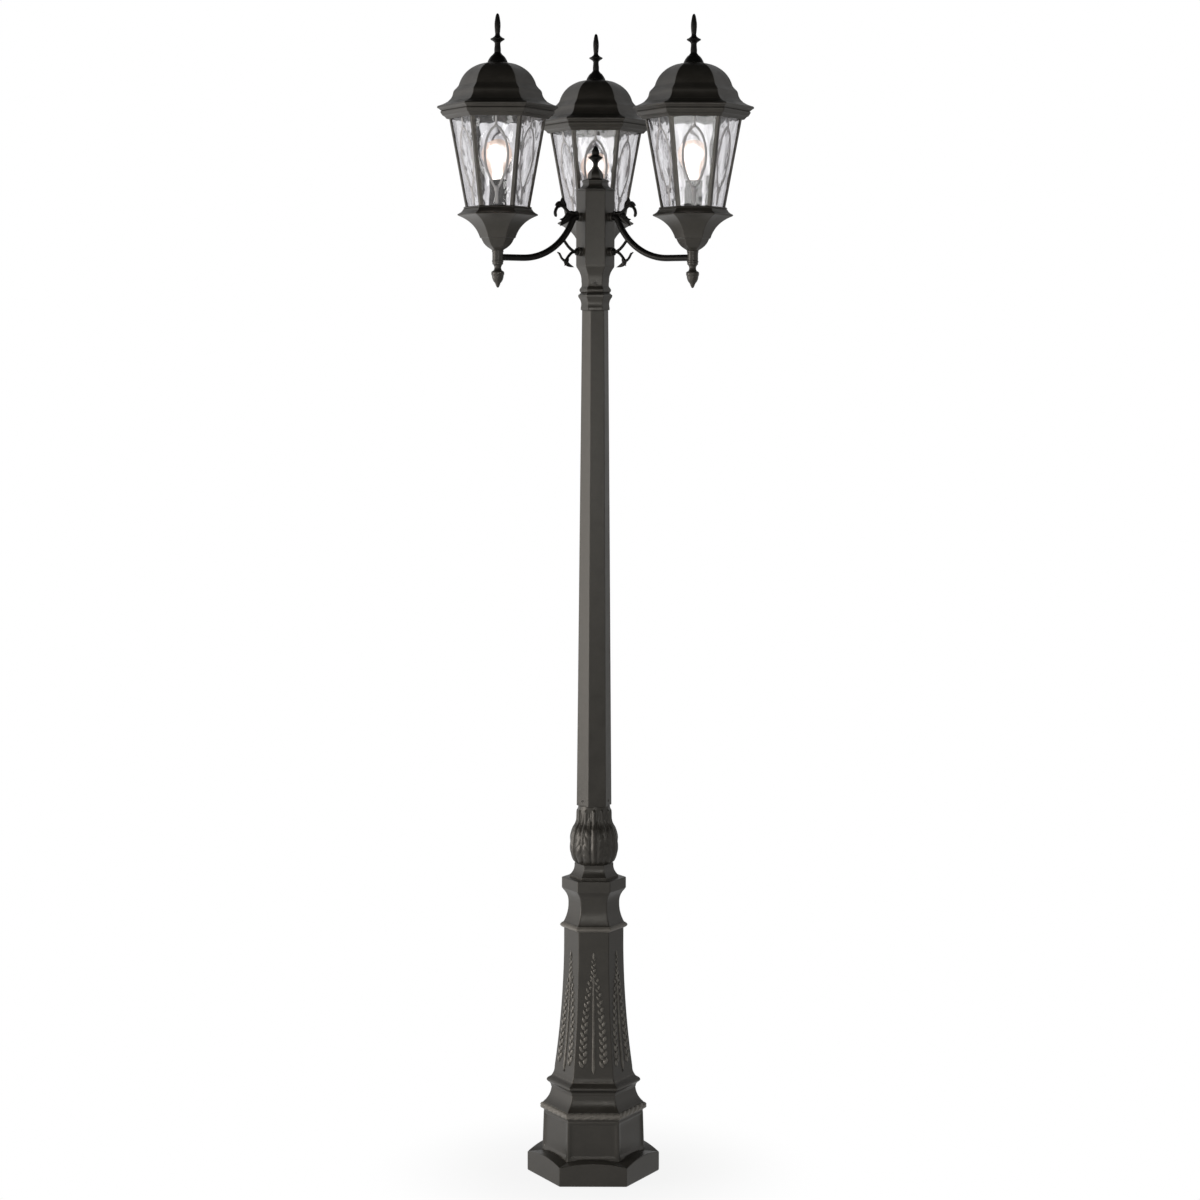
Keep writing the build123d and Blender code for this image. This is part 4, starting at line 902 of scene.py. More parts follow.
stalk_line = np.linspace(226, 432, 24)
stalk_angle = once_round(8)
stalk_width = np.interp(stalk_line, [226, 232, 425, 432], [0.2, 3.4, 2.0, 0.2])[:, None]
stalk = grid_shape(np.dstack(np.broadcast_arrays(
    stalk_width * np.cos(stalk_angle),
    -(die_face(stalk_line)[:, None] + 0.2) + 0.8 * stalk_width * np.sin(stalk_angle),
    stalk_line[:, None])))
relief = joined(wheat, stalk)
reliefs = joined(*[moved(relief, turn=60.0 * side) for side in range(6)])
make("pedestal_casting", pedestal_shell, cast_black, replaces=["pedestal"])
bead_rows = profile([(55.6, ped_top - 107.6, 0), (56.8, ped_top - 107.6, 0),
                     (56.8, ped_top - 96.0, 5.4), (55.6, ped_top - 96.0, 0)], 0.4, 8.0, 6.0)
# the bead's paler finish is partly wear and partly a painted highlight
make("pedestal_bead", walled(bead_rows, hexagon(8), PEDESTAL_CORNER), ridge_wear_and_painted_highlight)
# the wheat's paler coat is a painted highlight, with real wear on its edges
make("wheat_reliefs", reliefs, relief_wear_and_painted_highlight)

# %% [markdown]
# ## Set screws
# Small socket screws lock the joints of the post. Each is a cup-ended pin whose head stands a
# little proud, with a pit for the key. A turned outline that dips back in at its end makes the
# head and the pit in one go. The pit is round, because at three millimetres its flats are lost.

# %% Set screws
def set_screw(length):
    """A socket screw on the upright axis, head up, its head's face at level 0."""
    return capped(np.array([
        (0, -length), (2.4, -length), (3, -length + 0.8), (3, -1.2), (2.7, -0.25), (2.3, 0),
        (1.55, 0), (1.35, -0.3), (1.35, -2.0), (0, -2.2)]), circle(18))


SCREW_LENGTH = 8.5
SCREW_SETS = (
    # node, ways, level, how far out the head's face stands
    ("base_set_screws", (90, 210, 330), 225.5, 73.4),
    ("shaft_set_screws", (101, 221, 341), 796.0, 33.6),
    ("head_set_screws", (270, 30, 150), 1876.0, 27.6),
)
for node, ways, level, distance in SCREW_SETS:
    make(f"{node}_socket", joined(*[
        aimed(set_screw(SCREW_LENGTH), way, distance, level) for way in ways]),
        coated_screw, replaces=[node], slot="screw_steel")

# %% [markdown]
# ## Leaf collar
# Between the pedestal and the shaft sits a bulb of six acanthus leaves on a small hexagonal foot.
# Carving such leaves by hand is slow, and the mould only ever gave a low relief, so the bulb is a
# turned skin whose radius gains a height field. In the leaf's own terms, x runs from -1 to 1
# across it and v from 0 to 1 up it. The field adds a rib along x = 0, lobes that climb outwards
# from the rib, a notched edge where the leaf ends, and a second row of leaves in the gaps.

# %% Bulb of the leaf collar
collar_foot, collar_head = ped_top, span("shaft")[0]
LEAF_FOOT, LEAF_HEAD = collar_foot + 30.5, collar_head - 8.0
bulb_out = profile([
    (38.2, LEAF_FOOT, 0), (48.2, collar_foot + 79.0, 5.0), (41.5, collar_foot + 108.0, 1.6),
    (34.4, collar_head - 24, -2.0), (33.6, collar_head - 0.6, 0), (33.0, collar_head, 0)],
    3.0, 3.0, 2.2)
bulb_ring = circle(216)
bulb_skin = skin(bulb_out, bulb_ring)
print("bulb", bulb_skin.shape[0], "rows of", bulb_skin.shape[1], "points")

# %% Height of a leaf
def ramp(value, low, high):
    """A smooth step from 0 to 1."""
    t = np.clip((value - low) / (high - low), 0, 1)
    return t * t * (3 - 2 * t)


def acanthus(x, v, lobes=5.0):
    """Height of one leaf, in mm: within an edge that is notched by lobes, a base height, a fan
    of |sin| lobes that climb outwards, and a bell-shaped rib with a groove on either side."""
    side = np.abs(x)
    climb = lobes * (v - 0.30 * side)
    lobe = np.abs(np.sin(pi * climb)) ** 0.6
    reach = (0.97 - 0.55 * ramp(v, 0.55, 1.0)) * (0.86 + 0.14 * lobe)
    body = ramp(reach - side, 0.0, 0.10)
    rib = 3.0 * np.exp(-(side / 0.12) ** 2) - 2.0 * np.exp(-((side - 0.26) / 0.08) ** 2)
    fan = (0.7 + 1.0 * lobe) * np.sin(pi * np.clip(side / np.maximum(reach, 0.05), 0, 1)) ** 0.8
    return body * (0.9 + fan + rib), body


print("a leaf's rib stands", round(float(acanthus(0.0, 0.5)[0]), 1), "mm high")

# %% Leaves on the bulb
way = np.degrees(np.arctan2(bulb_ring.normal[:, 1], bulb_ring.normal[:, 0]))[None]
x_front = ((way - 270.0 + 30.0) % 60.0 - 30.0) / 30.0
x_back = ((way - 240.0 + 30.0) % 60.0 - 30.0) / 30.0
v = (bulb_out[:, 1:] - LEAF_FOOT) / (LEAF_HEAD - LEAF_FOOT)
front, front_body = acanthus(x_front, v / 0.90)
back, _ = acanthus(x_back, v, 4.0)
leaves = np.maximum(front, 0.75 * back * (1 - front_body) * ramp(v, 0.30, 0.5))
leaves *= ramp(v, -0.02, 0.06) * (1 - ramp(v, 0.96, 1.03))
scallop = -1.6 * ramp(v, 0.07, 0.0) * (1 - 0.7 * np.abs(np.sin(pi * x_front * 1.5)))
bulb_skin[..., :2] += (leaves + scallop)[..., None] * bulb_ring.normal
print("leaves stand up to", round(float(leaves.max()), 1), "mm out")

# %% Leaf collar casting
hex_foot = profile([(44.5, collar_foot, 0), (44.5, collar_foot + 5.2, 0),
                    (43.2, collar_foot + 6.2, 0), (35.9, collar_foot + 29.5, -2.6),
                    (34.5, collar_foot + 31.5, 0)], 1.0, 7.0, 10.0)
foot_rows = np.vstack([[(21.0, collar_foot - 34), (21.0, collar_foot)], hex_foot,
                       [(14.0, collar_foot + 31.5), (14.0, collar_foot - 34)]])
foot_corner = np.full(len(foot_rows), 2.2)
foot_corner[[0, 1, -2, -1]] = ROUND
spigot_rows = np.array([(26, collar_head - 0.5), (26, collar_head + 45), (19, collar_head + 45),
                        (19, collar_head - 24), (30, LEAF_FOOT + 2), (30, LEAF_FOOT)])
bulb_skin = np.concatenate([bulb_skin, skin(spigot_rows, bulb_ring)])
make("leaf_collar_casting", joined(
    grid_shape(bulb_skin, closed_rows=True), walled(foot_rows, hexagon(6), foot_corner)),
    cast_black, replaces=["leaf_collar"])

# %% [markdown]
# ## Shaft, capital and head
# The shaft is an extruded, tapering hexagonal tube. It stands turned eleven degrees on its
# collar, as it does in the photograph, and turning the ring is enough to turn the skin. Two of
# the three set screws at its foot show from the front. Above it come a small capital and the
# hollow head with its bosses, three pairs that face the lanterns.

# %% Shaft and capital
shaft_foot, shaft_head = span("shaft")
SHAFT_TURN, SHAFT_ROWS = 11.0, 22
shaft_rows = np.vstack([
    [(32.1, shaft_foot), (32.5, shaft_foot + 0.6)],
    np.column_stack([np.linspace(32.47, 24.3, SHAFT_ROWS),
                     np.linspace(shaft_foot + 4, shaft_head - 4, SHAFT_ROWS)]),
    [(24.2, shaft_head - 0.5), (23.8, shaft_head), (18.8, shaft_head), (27.0, shaft_foot)]])
make("shaft_tube", walled(shaft_rows, hexagon(6, turn=SHAFT_TURN), 2.2), cast_black,
     replaces=["shaft"])

head_foot, head_top = span("post_head")
capital_rows = np.vstack([
    profile([(23.0, shaft_head, 0), (26, shaft_head, 0), (26.3, shaft_head + 5.0, 0),
             (30.4, shaft_head + 26.7, -2.6), (30.8, shaft_head + 29.0, 0),
             (30.8, shaft_head + 31.4, 0), (26.5, head_foot - 0.4, -0.3), (25.5, head_foot, 0)],
            0.8, 8.0, 10.0),
    [(19.0, head_foot), (19.0, head_foot + 32), (14.0, head_foot + 32),
     (14.0, shaft_head - 45), (18.3, shaft_head - 45), (18.3, shaft_head)]])
capital_corner = np.full(len(capital_rows), 1.8)
capital_corner[-6:] = ROUND
make("capital_casting", walled(capital_rows, hexagon(6), capital_corner), cast_black,
     replaces=["capital"])

# %% Post head with its bosses
head_rows = np.vstack([
    profile([(26.4, head_foot, 0), (26.6, head_foot + 10.2, 2.2), (25.0, head_foot + 12.5, 0),
             (25.2, head_foot + 23, -0.4), (33.9, head_foot + 52, -2.6),
             (34.7, head_foot + 56, 0), (34.7, head_top - 0.6, 0), (34.1, head_top, 0)],
            1.4, 7.0, 22.0),
    [(29.7, head_top), (29.7, head_foot + 64), (25.0, head_foot + 49), (19.2, head_foot + 46),
     (19.2, head_foot)]])
head_corner = np.full(len(head_rows), 2.4)
head_corner[-2:] = ROUND
HEAD_HALF, BOSS_RADIUS, BOSS_LENGTH, ARM_BORE, PIN_BORE = 34.7, 9.5, 8.0, 6.7, 4.1
UPPER_BOSS, LOWER_BOSS = head_top - 54.5, head_top - 125.5
LANTERN_WAYS = {"left": 210.0, "right": 330.0, "back": 90.0}


def boss(length, bore):
    """A round boss on the upright axis with a fillet at its foot, a rolled rim and its bore."""
    rows = profile([(BOSS_RADIUS + 2.2, -1.5, 0), (BOSS_RADIUS - 0.4, 1.6, -0.9),
                    (BOSS_RADIUS - 0.4, length - 3.6, 0), (BOSS_RADIUS, length - 3.0, 0),
                    (BOSS_RADIUS, length - 0.5, 0.5), (BOSS_RADIUS - 0.9, length, 0),
                    (bore + 0.6, length, 0)], 0.5, 9.0, 4.0)
    return walled(np.vstack([rows, [(bore, length - 0.6), (bore, -1.5)]]), circle(36))


bosses = [aimed(boss(BOSS_LENGTH, bore), way, HEAD_HALF, level)
          for way in LANTERN_WAYS.values()
          for level, bore in ((UPPER_BOSS, ARM_BORE), (LOWER_BOSS, PIN_BORE))]
make("post_head_casting", joined(walled(head_rows, hexagon(6), head_corner), *bosses),
     cast_black, replaces=["post_head"])

# %% Cap and its finial
cap_foot, cap_top = head_top, span("head_cap")[1]
cap_rows = profile([
    (29.4, cap_foot - 6, 0), (29.4, cap_foot, 0), (35.2, cap_foot, 0), (36.0, cap_foot + 0.8, 0),
    (36.0, cap_foot + 2.6, 0.3), (27.0, cap_foot + 6.8, -0.6), (22.6, cap_foot + 14.0, -1.0),
    (22.4, cap_foot + 16.2, 0), (22.4, cap_foot + 22.6, 1.9), (15.4, cap_foot + 24.4, 0),
    (14.4, cap_foot + 27.4, -0.4), (9.6, cap_foot + 42.0, 1.5), (5.0, cap_top - 1.5, -0.8),
    (5, cap_top, 0), (3.2, cap_top, 0)], 0.7, 8.0, 8.0)
cap_rows = np.vstack([cap_rows, [(3.1, cap_foot + 14), (19.0, cap_foot + 14),
                                 (26.4, cap_foot + 2), (26.4, cap_foot - 6)]])
cap_corner = np.where(cap_rows[:, 0] < 6, ROUND, 1.6)
make("head_cap_casting", walled(cap_rows, hexagon(6), cap_corner), cast_black,
     replaces=["head_cap"])

tip = span("cap_finial")[1]
make("cap_finial_turning", capped(profile([
    (0, cap_top, 0), (5, cap_top, 0), (5.2, cap_top + 2, 0), (6.8, cap_top + 5.2, -0.2),
    (10.6, cap_top + 9.4, -0.3), (14.2, cap_top + 12.6, 0.2), (14.2, cap_top + 15.2, 0.8),
    (9.4, cap_top + 18.0, -0.4), (7.2, cap_top + 20.2, -0.2), (7.8, cap_top + 25, 0.3),
    (6.2, cap_top + 30.5, 0.4), (3.2, cap_top + 35.6, 0.3), (0, tip, 0.1)],
    0.6, 8.0, 4.0), circle(40)), tube_black, replaces=["cap_finial"])

# %% [markdown]
# ## Arms
# Each arm is a bent tube: level out of its boss, round a short turn, down a long bend, and level
# again into the stem under its lantern. The line is two arcs that touch, so it is worked out the
# way a bender would set it: the long bend's radius follows from the drop and the run. A tube is
# then a circle carried along that line in its upright plane, and scrolls and leaves are the same
# with an oval section that changes on the way.

# %% Sweeps in an arm's plane
def heading_of(line):
    """Unit vectors along a line of points."""
    along = np.gradient(line, axis=0)
    return along / np.linalg.norm(along, axis=1, keepdims=True)


def strip(line, widths, thickness, steps=14):
    """An oval section carried along a line of (distance, level) points in the plane y = 0:
    point = line + width * cos(a) * square to the line + thickness * sin(a) * out of the plane."""
    line = np.asarray(line, float)
    widths = np.broadcast_to(widths, len(line))[:, None]
    thickness = np.broadcast_to(thickness, len(line))[:, None]
    along, a = heading_of(line), once_round(steps)
    flat = line[:, None] + (widths * np.cos(a))[..., None] * np.column_stack(
        [-along[:, 1], along[:, 0]])[:, None]
    rings = np.dstack([flat[..., 0], np.broadcast_to(thickness * np.sin(a), flat.shape[:2]),
                       flat[..., 1]])
    ends = np.repeat(rings[[0, -1]].mean(1, keepdims=True), steps, axis=1)
    return grid_shape(np.concatenate([ends[:1], rings, ends[1:]]))


print("a straight strip of two rings has", len(strip([(0, 0), (1, 0)], 1.0, 1.0)[1]), "faces")

# %% Lines to sweep along
def arc(centre, radius, start, end, count):
    """Points of an arc, with angles in degrees."""
    return np.asarray(centre) + radius * unit(np.linspace(start, end, count))


def smooth_line(points, count=40):
    """A smooth line through points (Catmull-Rom): each stretch is a cubic whose slope at a point
    runs parallel to the line between that point's neighbours."""
    points = np.asarray(points, float)
    padded = np.vstack([2 * points[0] - points[1], points, 2 * points[-1] - points[-2]])
    s = np.linspace(0, len(points) - 1 - 1e-9, count)
    index, t = s.astype(int), (s % 1)[:, None]
    p0, p1, p2, p3 = (padded[index + shift] for shift in range(4))
    return 0.5 * (2 * p1 + (p2 - p0) * t + (2 * p0 - 5 * p1 + 4 * p2 - p3) * t ** 2
                  + (3 * p1 - p0 - 3 * p2 + p3) * t ** 3)


def rounded(count, tip):
    """Widths that grow from nothing over the first tip and shrink again over the last:
    the square root of the distance to the nearer end / tip, up to 1."""
    t = np.linspace(0, 1, count)
    return np.sqrt(np.clip(np.minimum(t, 1 - t) / tip, 0, 1))


print("a smooth line has", len(smooth_line([(0, 0), (1, 2), (3, 1)])), "points")

# %% Arm tubes
REACH, ARM_DROP, ARM_RADIUS = 228.0, 86.0, 6.65
ARM_LEVEL, BOSS_END = UPPER_BOSS - ARM_DROP, HEAD_HALF + BOSS_LENGTH
BEND_AT, TURN_RADIUS = 170.0, 13.0
turn_rise = UPPER_BOSS - TURN_RADIUS - ARM_LEVEL
sweep = (((BEND_AT - BOSS_END) ** 2 + turn_rise ** 2 - TURN_RADIUS ** 2)
         / (2 * (TURN_RADIUS + turn_rise)))
meet = np.degrees(np.arcsin((sweep - turn_rise) / (sweep + TURN_RADIUS)))
arm_line = np.vstack([
    [(24.0, UPPER_BOSS), (34.0, UPPER_BOSS)],
    arc((BOSS_END, UPPER_BOSS - TURN_RADIUS), TURN_RADIUS, 90, meet, 12),
    arc((BEND_AT, ARM_LEVEL + sweep), sweep, 180 + meet, 270, 44)[1:],
    [(188.0, ARM_LEVEL), (204.0, ARM_LEVEL), (218.6, ARM_LEVEL)]])
arm_line = thin(soften(arm_line, 5.0), 3.0, 9.0)
arm_tube = strip(arm_line, ARM_RADIUS, ARM_RADIUS, 24)
print("long bend's radius", round(sweep, 1), "mm")

# %% [markdown]
# ## Scrolls
# Two cast scrolls dress each arm. The upper one grows from the boss, curls up and over into a
# hook, with a pointed leaf behind the curl and another that lies along the arm. The lower one
# braces the arm: from its boss one branch reaches up to the tube, the other curls down into a
# leaf with a hook. Their lines are given as a few points to pass through, and each stroke's width
# swells and tapers. The leaves get a raised rib, and small rolled collars mark where they root.

# %% Scroll strokes
def stroke(points, widest, thick=4.0, start=0.7, end=0.35, count=34):
    """A tapering stroke with rounded ends through a few points."""
    t = np.linspace(0, 1, count)
    ends = rounded(count, 0.05)
    width = widest * (start + (end - start) * t + (1 - max(start, end)) * np.sin(pi * t)) * ends
    return strip(smooth_line(points, count), width, np.minimum(thick, thick * 0.6 + width) * ends)


def blade(points, widest, thick=3.6, count=30, peak=0.4):
    """A pointed leaf along a line, widest part of the way up, with a rib on both faces."""
    t = np.linspace(0, 1, count)
    rise = np.where(t < peak, t / peak, (1 - t) / (1 - peak))
    width = widest * np.sin(rise * pi / 2) ** 0.9
    line = smooth_line(points, count)
    rib = strip(line, 0.22 * width + 0.01, thick * (0.35 + 0.65 * rise) * (rise > 0), 10)
    return joined(strip(line, width, thick * 0.72 * np.sqrt(rise), 14), rib)


def upper_scroll(level):
    """Curl, hook, leaf behind the curl, and leaf along the arm. Points are (distance, level)."""
    at = np.array((0.0, level))
    return joined(
        stroke(at + [(45, 9), (54, 7), (63, 9), (70, 15), (77, 21), (85, 22), (92, 16), (95, 7),
                     (92.5, -2)], 3.6, 4.0, 1.0, 0.85),
        blade(at + [(68, 15), (74, 23), (78, 31), (79, 39.5)], 6.6, 3.6, 30, 0.45),
        blade(at + [(74, 20), (82, 24), (89, 24), (96, 22)], 7.0, 3.4, 30, 0.45),
        blade(at + [(47, 10), (58, 5), (70, -6), (84, -20)], 8.2, 4.0, 34, 0.5),
        blade(at + [(60, 0), (69, -4), (77, -6), (85, -6)], 4.4, 3.2),
        stroke(at + [(45.5, 4), (45.5, 9), (47.0, 12)], 3.6, 4.6, 0.9, 0.9, 12))


def lower_scroll(level):
    """Branch up to the arm, branch down to a leaf, hook and tail, on a rolled collar."""
    at = np.array((0.0, level))
    return joined(
        stroke(at + [(43.5, 0), (50, 0.5), (57, 4), (64, 10), (70, 17), (79, 28)], 3.1, 3.6,
               1.0, 0.9),
        stroke(at + [(48, 0), (56, -2.5), (63, -9), (68, -15.5), (71, -20)], 3.0, 3.6, 1.0, 0.9),
        stroke(at + [(66, -17), (72, -19.5), (79, -14.5), (83, -8), (86, -2.5)], 2.9, 3.6,
               1.0, 0.6),
        stroke(at + [(83, -9), (86, -4.5), (90, -1.5)], 2.0, 2.6, 0.9, 0.5, 12),
        blade(at + [(74, -15), (69, -23), (62, -28), (50, -32)], 5.0, 3.6, 28, 0.35),
        blade(at + [(64, -10), (66, -18), (70, -25), (73, -30)], 3.6, 3.2, 22))


print("scrolls have", len(upper_scroll(0)[1]), "and", len(lower_scroll(0)[1]), "faces")

# %% Scrolls on the arms
collar_ring = capped(profile([(0, 0, 0), (7.2, 0, 0), (8.0, 1.4, 0.4), (7.0, 3.4, 0.3),
                              (5.0, 5.2, -0.4), (0, 6.4, 0)], 0.5, 9.0, 3.0), circle(28))
pin = capped(np.array([(0, -13.0), (4.0, -13.0), (4.0, 1.0), (0, 1.0)]), circle(20))
for side, way in LANTERN_WAYS.items():
    make(f"arm_tube_{side}", moved(arm_tube, turn=way), tube_black, replaces=[f"arm_{side}"])
    make(f"upper_scroll_casting_{side}", moved(upper_scroll(UPPER_BOSS), turn=way), tube_black,
         replaces=[f"upper_scroll_{side}"])
    make(f"lower_scroll_casting_{side}", joined(
        moved(lower_scroll(LOWER_BOSS), turn=way),
        aimed(collar_ring, way, BOSS_END + 0.1, LOWER_BOSS),
        aimed(pin, way, BOSS_END, LOWER_BOSS)), tube_black,
        replaces=[f"lower_scroll_{side}"])

# %% [markdown]
# ## Lanterns
# All three lanterns are one pattern, set at the arms' ends without turning, so each piece is
# made once on the post's axis and then moved. From below: an acorn drop, the stem that takes the
# arm, a bowl like an upturned bell, the glazed cage, and the roof with its finial.

# %% Drop and stem
def at_lanterns(name, shape, material, node=None, body=None, **settings):
    """The same piece at every lantern. A piece that rides on a moving body names it without its
    side, as in roof or bulb_glass."""
    for side, way in LANTERN_WAYS.items():
        make(f"{name}_{side}", moved(shape, (*(unit(way) * REACH), 0.0)), material,
             replaces=[f"{node}_{side}"] if node else (),
             body=f"{body}_{side}" if body else "root", **settings)


stem_foot, stem_head = span("stem_left")
drop_tip = span("drop_finial_left")[0]
acorn = profile([
    (0, drop_tip, 0), (2.2, drop_tip + 1.0, 0.3), (5.6, drop_tip + 9, 0.2),
    (12.0, stem_foot - 27, 1.6), (13.3, stem_foot - 22.4, 0.5), (12.4, stem_foot - 18.6, 0.3),
    (10.4, stem_foot - 17.6, 0), (7.4, stem_foot - 14.0, -0.5), (6.8, stem_foot - 10.5, 0),
    (7.6, stem_foot - 8.0, 0), (10.9, stem_foot - 4.0, -0.6), (11.0, stem_foot, 0),
    (0, stem_foot, 0)], 0.6, 8.0, 4.0)
DROP_STEPS, DROP_RADIUS, FLUTES, FLUTE_DEPTH = 48, 13.0, 8, 0.55
drop_surface = skin(acorn, circle(DROP_STEPS))
flutes = FLUTE_DEPTH * np.abs(np.sin(FLUTES * pi * np.arange(DROP_STEPS) / DROP_STEPS))
belly = (ramp(acorn[:, 1], drop_tip + 2, drop_tip + 10)
         * ramp(acorn[:, 1], stem_foot - 20, stem_foot - 24))
drop_surface[..., :2] *= 1 - (belly[:, None] * flutes[None] / DROP_RADIUS)[..., None]
at_lanterns("drop_finial_turning", grid_shape(drop_surface), cast_black, "drop_finial")

stem_rows = profile([
    (5.1, stem_foot, 0), (11.0, stem_foot, 0), (11.8, stem_foot + 1.0, 0),
    (11.8, stem_foot + 3.4, 0), (11.0, stem_foot + 4.2, -0.2), (11.0, stem_head - 4.8, 0),
    (11.8, stem_head - 4.0, 0), (11.8, stem_head - 0.8, 0), (11.2, stem_head, 0),
    (5.1, stem_head, 0)], 0.4, 8.0, 5.0)
at_lanterns("stem_sleeve", walled(stem_rows, circle(40)), cast_black, "stem")

# %% Bowl
bowl_foot, bowl_head = span("bowl_left")
bowl_rows = np.vstack([
    profile([(8.0, bowl_foot, 0), (11, bowl_foot, 0), (12.2, bowl_foot + 1.5, 0),
             (28.8, bowl_foot + 22.7, 2.6), (29.6, bowl_foot + 23.6, 0),
             (31.4, bowl_foot + 24.4, 0), (69.9, bowl_foot + 68.9, -7.2),
             (70.7, bowl_foot + 69.7, 0), (70.7, bowl_foot + 71.6, 0.3),
             (69.6, bowl_foot + 72.6, 0), (60.4, bowl_head - 0.4, -1.4), (58.0, bowl_head, 0)],
            1.0, 6.0, 9.0),
    [(51.0, bowl_head), (51.0, bowl_foot + 70), (26.0, bowl_foot + 27), (8.0, bowl_foot + 4)]])
bowl_corner = np.full(len(bowl_rows), 2.2)
bowl_corner[[0, -1]] = ROUND
at_lanterns("bowl_casting", walled(bowl_rows, hexagon(6), bowl_corner), cast_black, "bowl")

# %% [markdown]
# ## Glazed cage
# The cage is a deck, six leaning corner bars and a flaring top rail. A bar laps the glass by a
# few millimetres on both sides of its corner, with the arris eased. Its section is drawn at the
# deck and again at the rail, where the hexagon is wider, and the two are joined, so the bar
# leans out just as the glass does.

# %% Deck and rail
cage_foot, rail_top = span("cage_left")
DECK, PANE_HEAD = cage_foot + 4.0, cage_foot + 181.8
PANE_FOOT_HALF, PANE_HEAD_HALF, BAR_WIDTH, BAR_DEPTH = 57.0, 85.2, 6.6, 3.0
CAGE_CORNER = 2.0
deck_rows = profile([
    (5.1, cage_foot, 0), (59.2, cage_foot, 0), (60, cage_foot + 0.8, 0),
    (60, cage_foot + 2.4, 0.3), (58.8, DECK - 0.2, 0), (57.6, DECK, 0), (5.1, DECK, 0)],
    0.5, 9.0, 20.0)
deck_corner = np.where(deck_rows[:, 0] < 20, ROUND, CAGE_CORNER)
rail_rows = profile([
    (82.2, PANE_HEAD, 0), (85.4, PANE_HEAD, 0), (86.0, PANE_HEAD - 2.6, 0),
    (88.6, PANE_HEAD - 2.6, 0), (90.4, PANE_HEAD - 1.0, 0.3), (96.6, PANE_HEAD + 4.4, -0.6),
    (99.2, PANE_HEAD + 8.8, 0), (100.1, PANE_HEAD + 10.4, 0), (100.1, rail_top - 0.5, 0),
    (99.6, rail_top, 0), (82.2, rail_top, 0)], 0.6, 8.0, 12.0)
print("deck", len(deck_rows), "and rail", len(rail_rows), "rows")

# %% Corner bars
BAR_EASE, BAR_LAP = 1.8, 0.3


def bar_section(half, level):
    """Section of every corner bar at a level: two flanges that meet in an eased arris."""
    ways = np.arange(6)[:, None] * 60.0
    corner, ease = unit(ways), unit(ways + np.linspace(30, -30, 5))
    along, square = unit(ways + [120.0, -120.0]), unit(ways + [30.0, -30.0])
    outer = corner * half / cos(pi / 6)
    arris = corner * (half - BAR_EASE) / cos(pi / 6) + BAR_EASE * ease
    tips = outer + BAR_WIDTH * along
    inner_tips = tips - BAR_DEPTH * square
    inner = corner * (half - BAR_DEPTH) / cos(pi / 6)
    ring = np.concatenate([tips[:, :1], arris, tips[:, 1:], inner_tips[:, 1:], inner,
                           inner_tips[:, :1]], axis=1)
    return np.dstack([ring, np.full(ring.shape[:2], level)])


sections = np.stack([
    bar_section(PANE_FOOT_HALF + (PANE_HEAD_HALF - PANE_FOOT_HALF) * t,
                DECK - BAR_LAP + (PANE_HEAD - DECK + 2 * BAR_LAP) * t)
    for t in np.linspace(0, 1, 9)])
centres = sections.mean(2, keepdims=True)
bars = [grid_shape(np.concatenate([
    np.broadcast_to(centres[:1, k], (1, sections.shape[2], 3)), sections[:, k],
    np.broadcast_to(centres[-1:, k], (1, sections.shape[2], 3))])) for k in range(6)]
at_lanterns("cage_casting", joined(
    walled(deck_rows, hexagon(4), deck_corner),
    walled(rail_rows, hexagon(4), CAGE_CORNER), *bars), cast_black, "cage")

# %% [markdown]
# ## Panes
# Water glass is rolled while soft, and its skin keeps long soft ripples that run up the pane and
# bend what lies behind. Here each pane is a thin slab, a grid on both faces, and its faces move in
# and out by a few tenths of a millimetre along sums of slow sine waves, stretched upright. The
# same sums give darker streaks, painted shade in the glass's colour for dark things seen through
# it. A real pane also carries a fine raised line in the shape of a pointed arch, with knots where
# it crosses itself, so that is a thin strip on top.

# %% Ripples
lean = np.arctan((PANE_HEAD_HALF - PANE_FOOT_HALF) / (PANE_HEAD - DECK))
glass_half = PANE_FOOT_HALF - (BAR_DEPTH + 0.25) / cos(lean)
pane_length = (PANE_HEAD - DECK) / cos(lean) - 0.6
GLASS_THICK, PANE_FOOT = 2.3, DECK + 0.3


def on_pane(x, up, out, side):
    """A point of a pane in the lantern's space: x across, up along the lean, out square to it."""
    way = 60.0 * side + 30.0
    normal, across = unit(way), unit(way + 90.0)
    distance = glass_half + up * np.sin(lean) + out * cos(lean)
    level = PANE_FOOT + up * cos(lean) - out * np.sin(lean)
    plan = distance[..., None] * normal + x[..., None] * across
    return np.dstack([plan, level])


WAVES = ((62, 210, 0.46), (31, 150, 0.34), (17, 100, 0.15), (9, 50, 0.05))


def ripple(x, up, seed):
    """A sum of slow waves, in -1..1: their crests run up the pane and wander sideways."""
    random = np.random.default_rng(seed)
    total = np.zeros(np.broadcast(x, up).shape)
    for pitch, stretch, share in WAVES:
        phase, sway, drift = random.uniform(0, 2 * pi, 3)
        total += share * np.sin(2 * pi * (x / pitch + 0.55 * np.sin(2 * pi * up / stretch + sway))
                                + phase + 0.8 * np.sin(2 * pi * up / (stretch * 0.6) + drift))
    return total


print("panes lean", round(float(np.degrees(lean)), 2), "degrees and are",
      round(float(pane_length), 1), "mm long")

# %% Rippled panes
FRONT_RIPPLE, BACK_RIPPLE, FRONT_SET_IN, EDGE_GAP = 0.40, 0.34, 0.5, 0.35


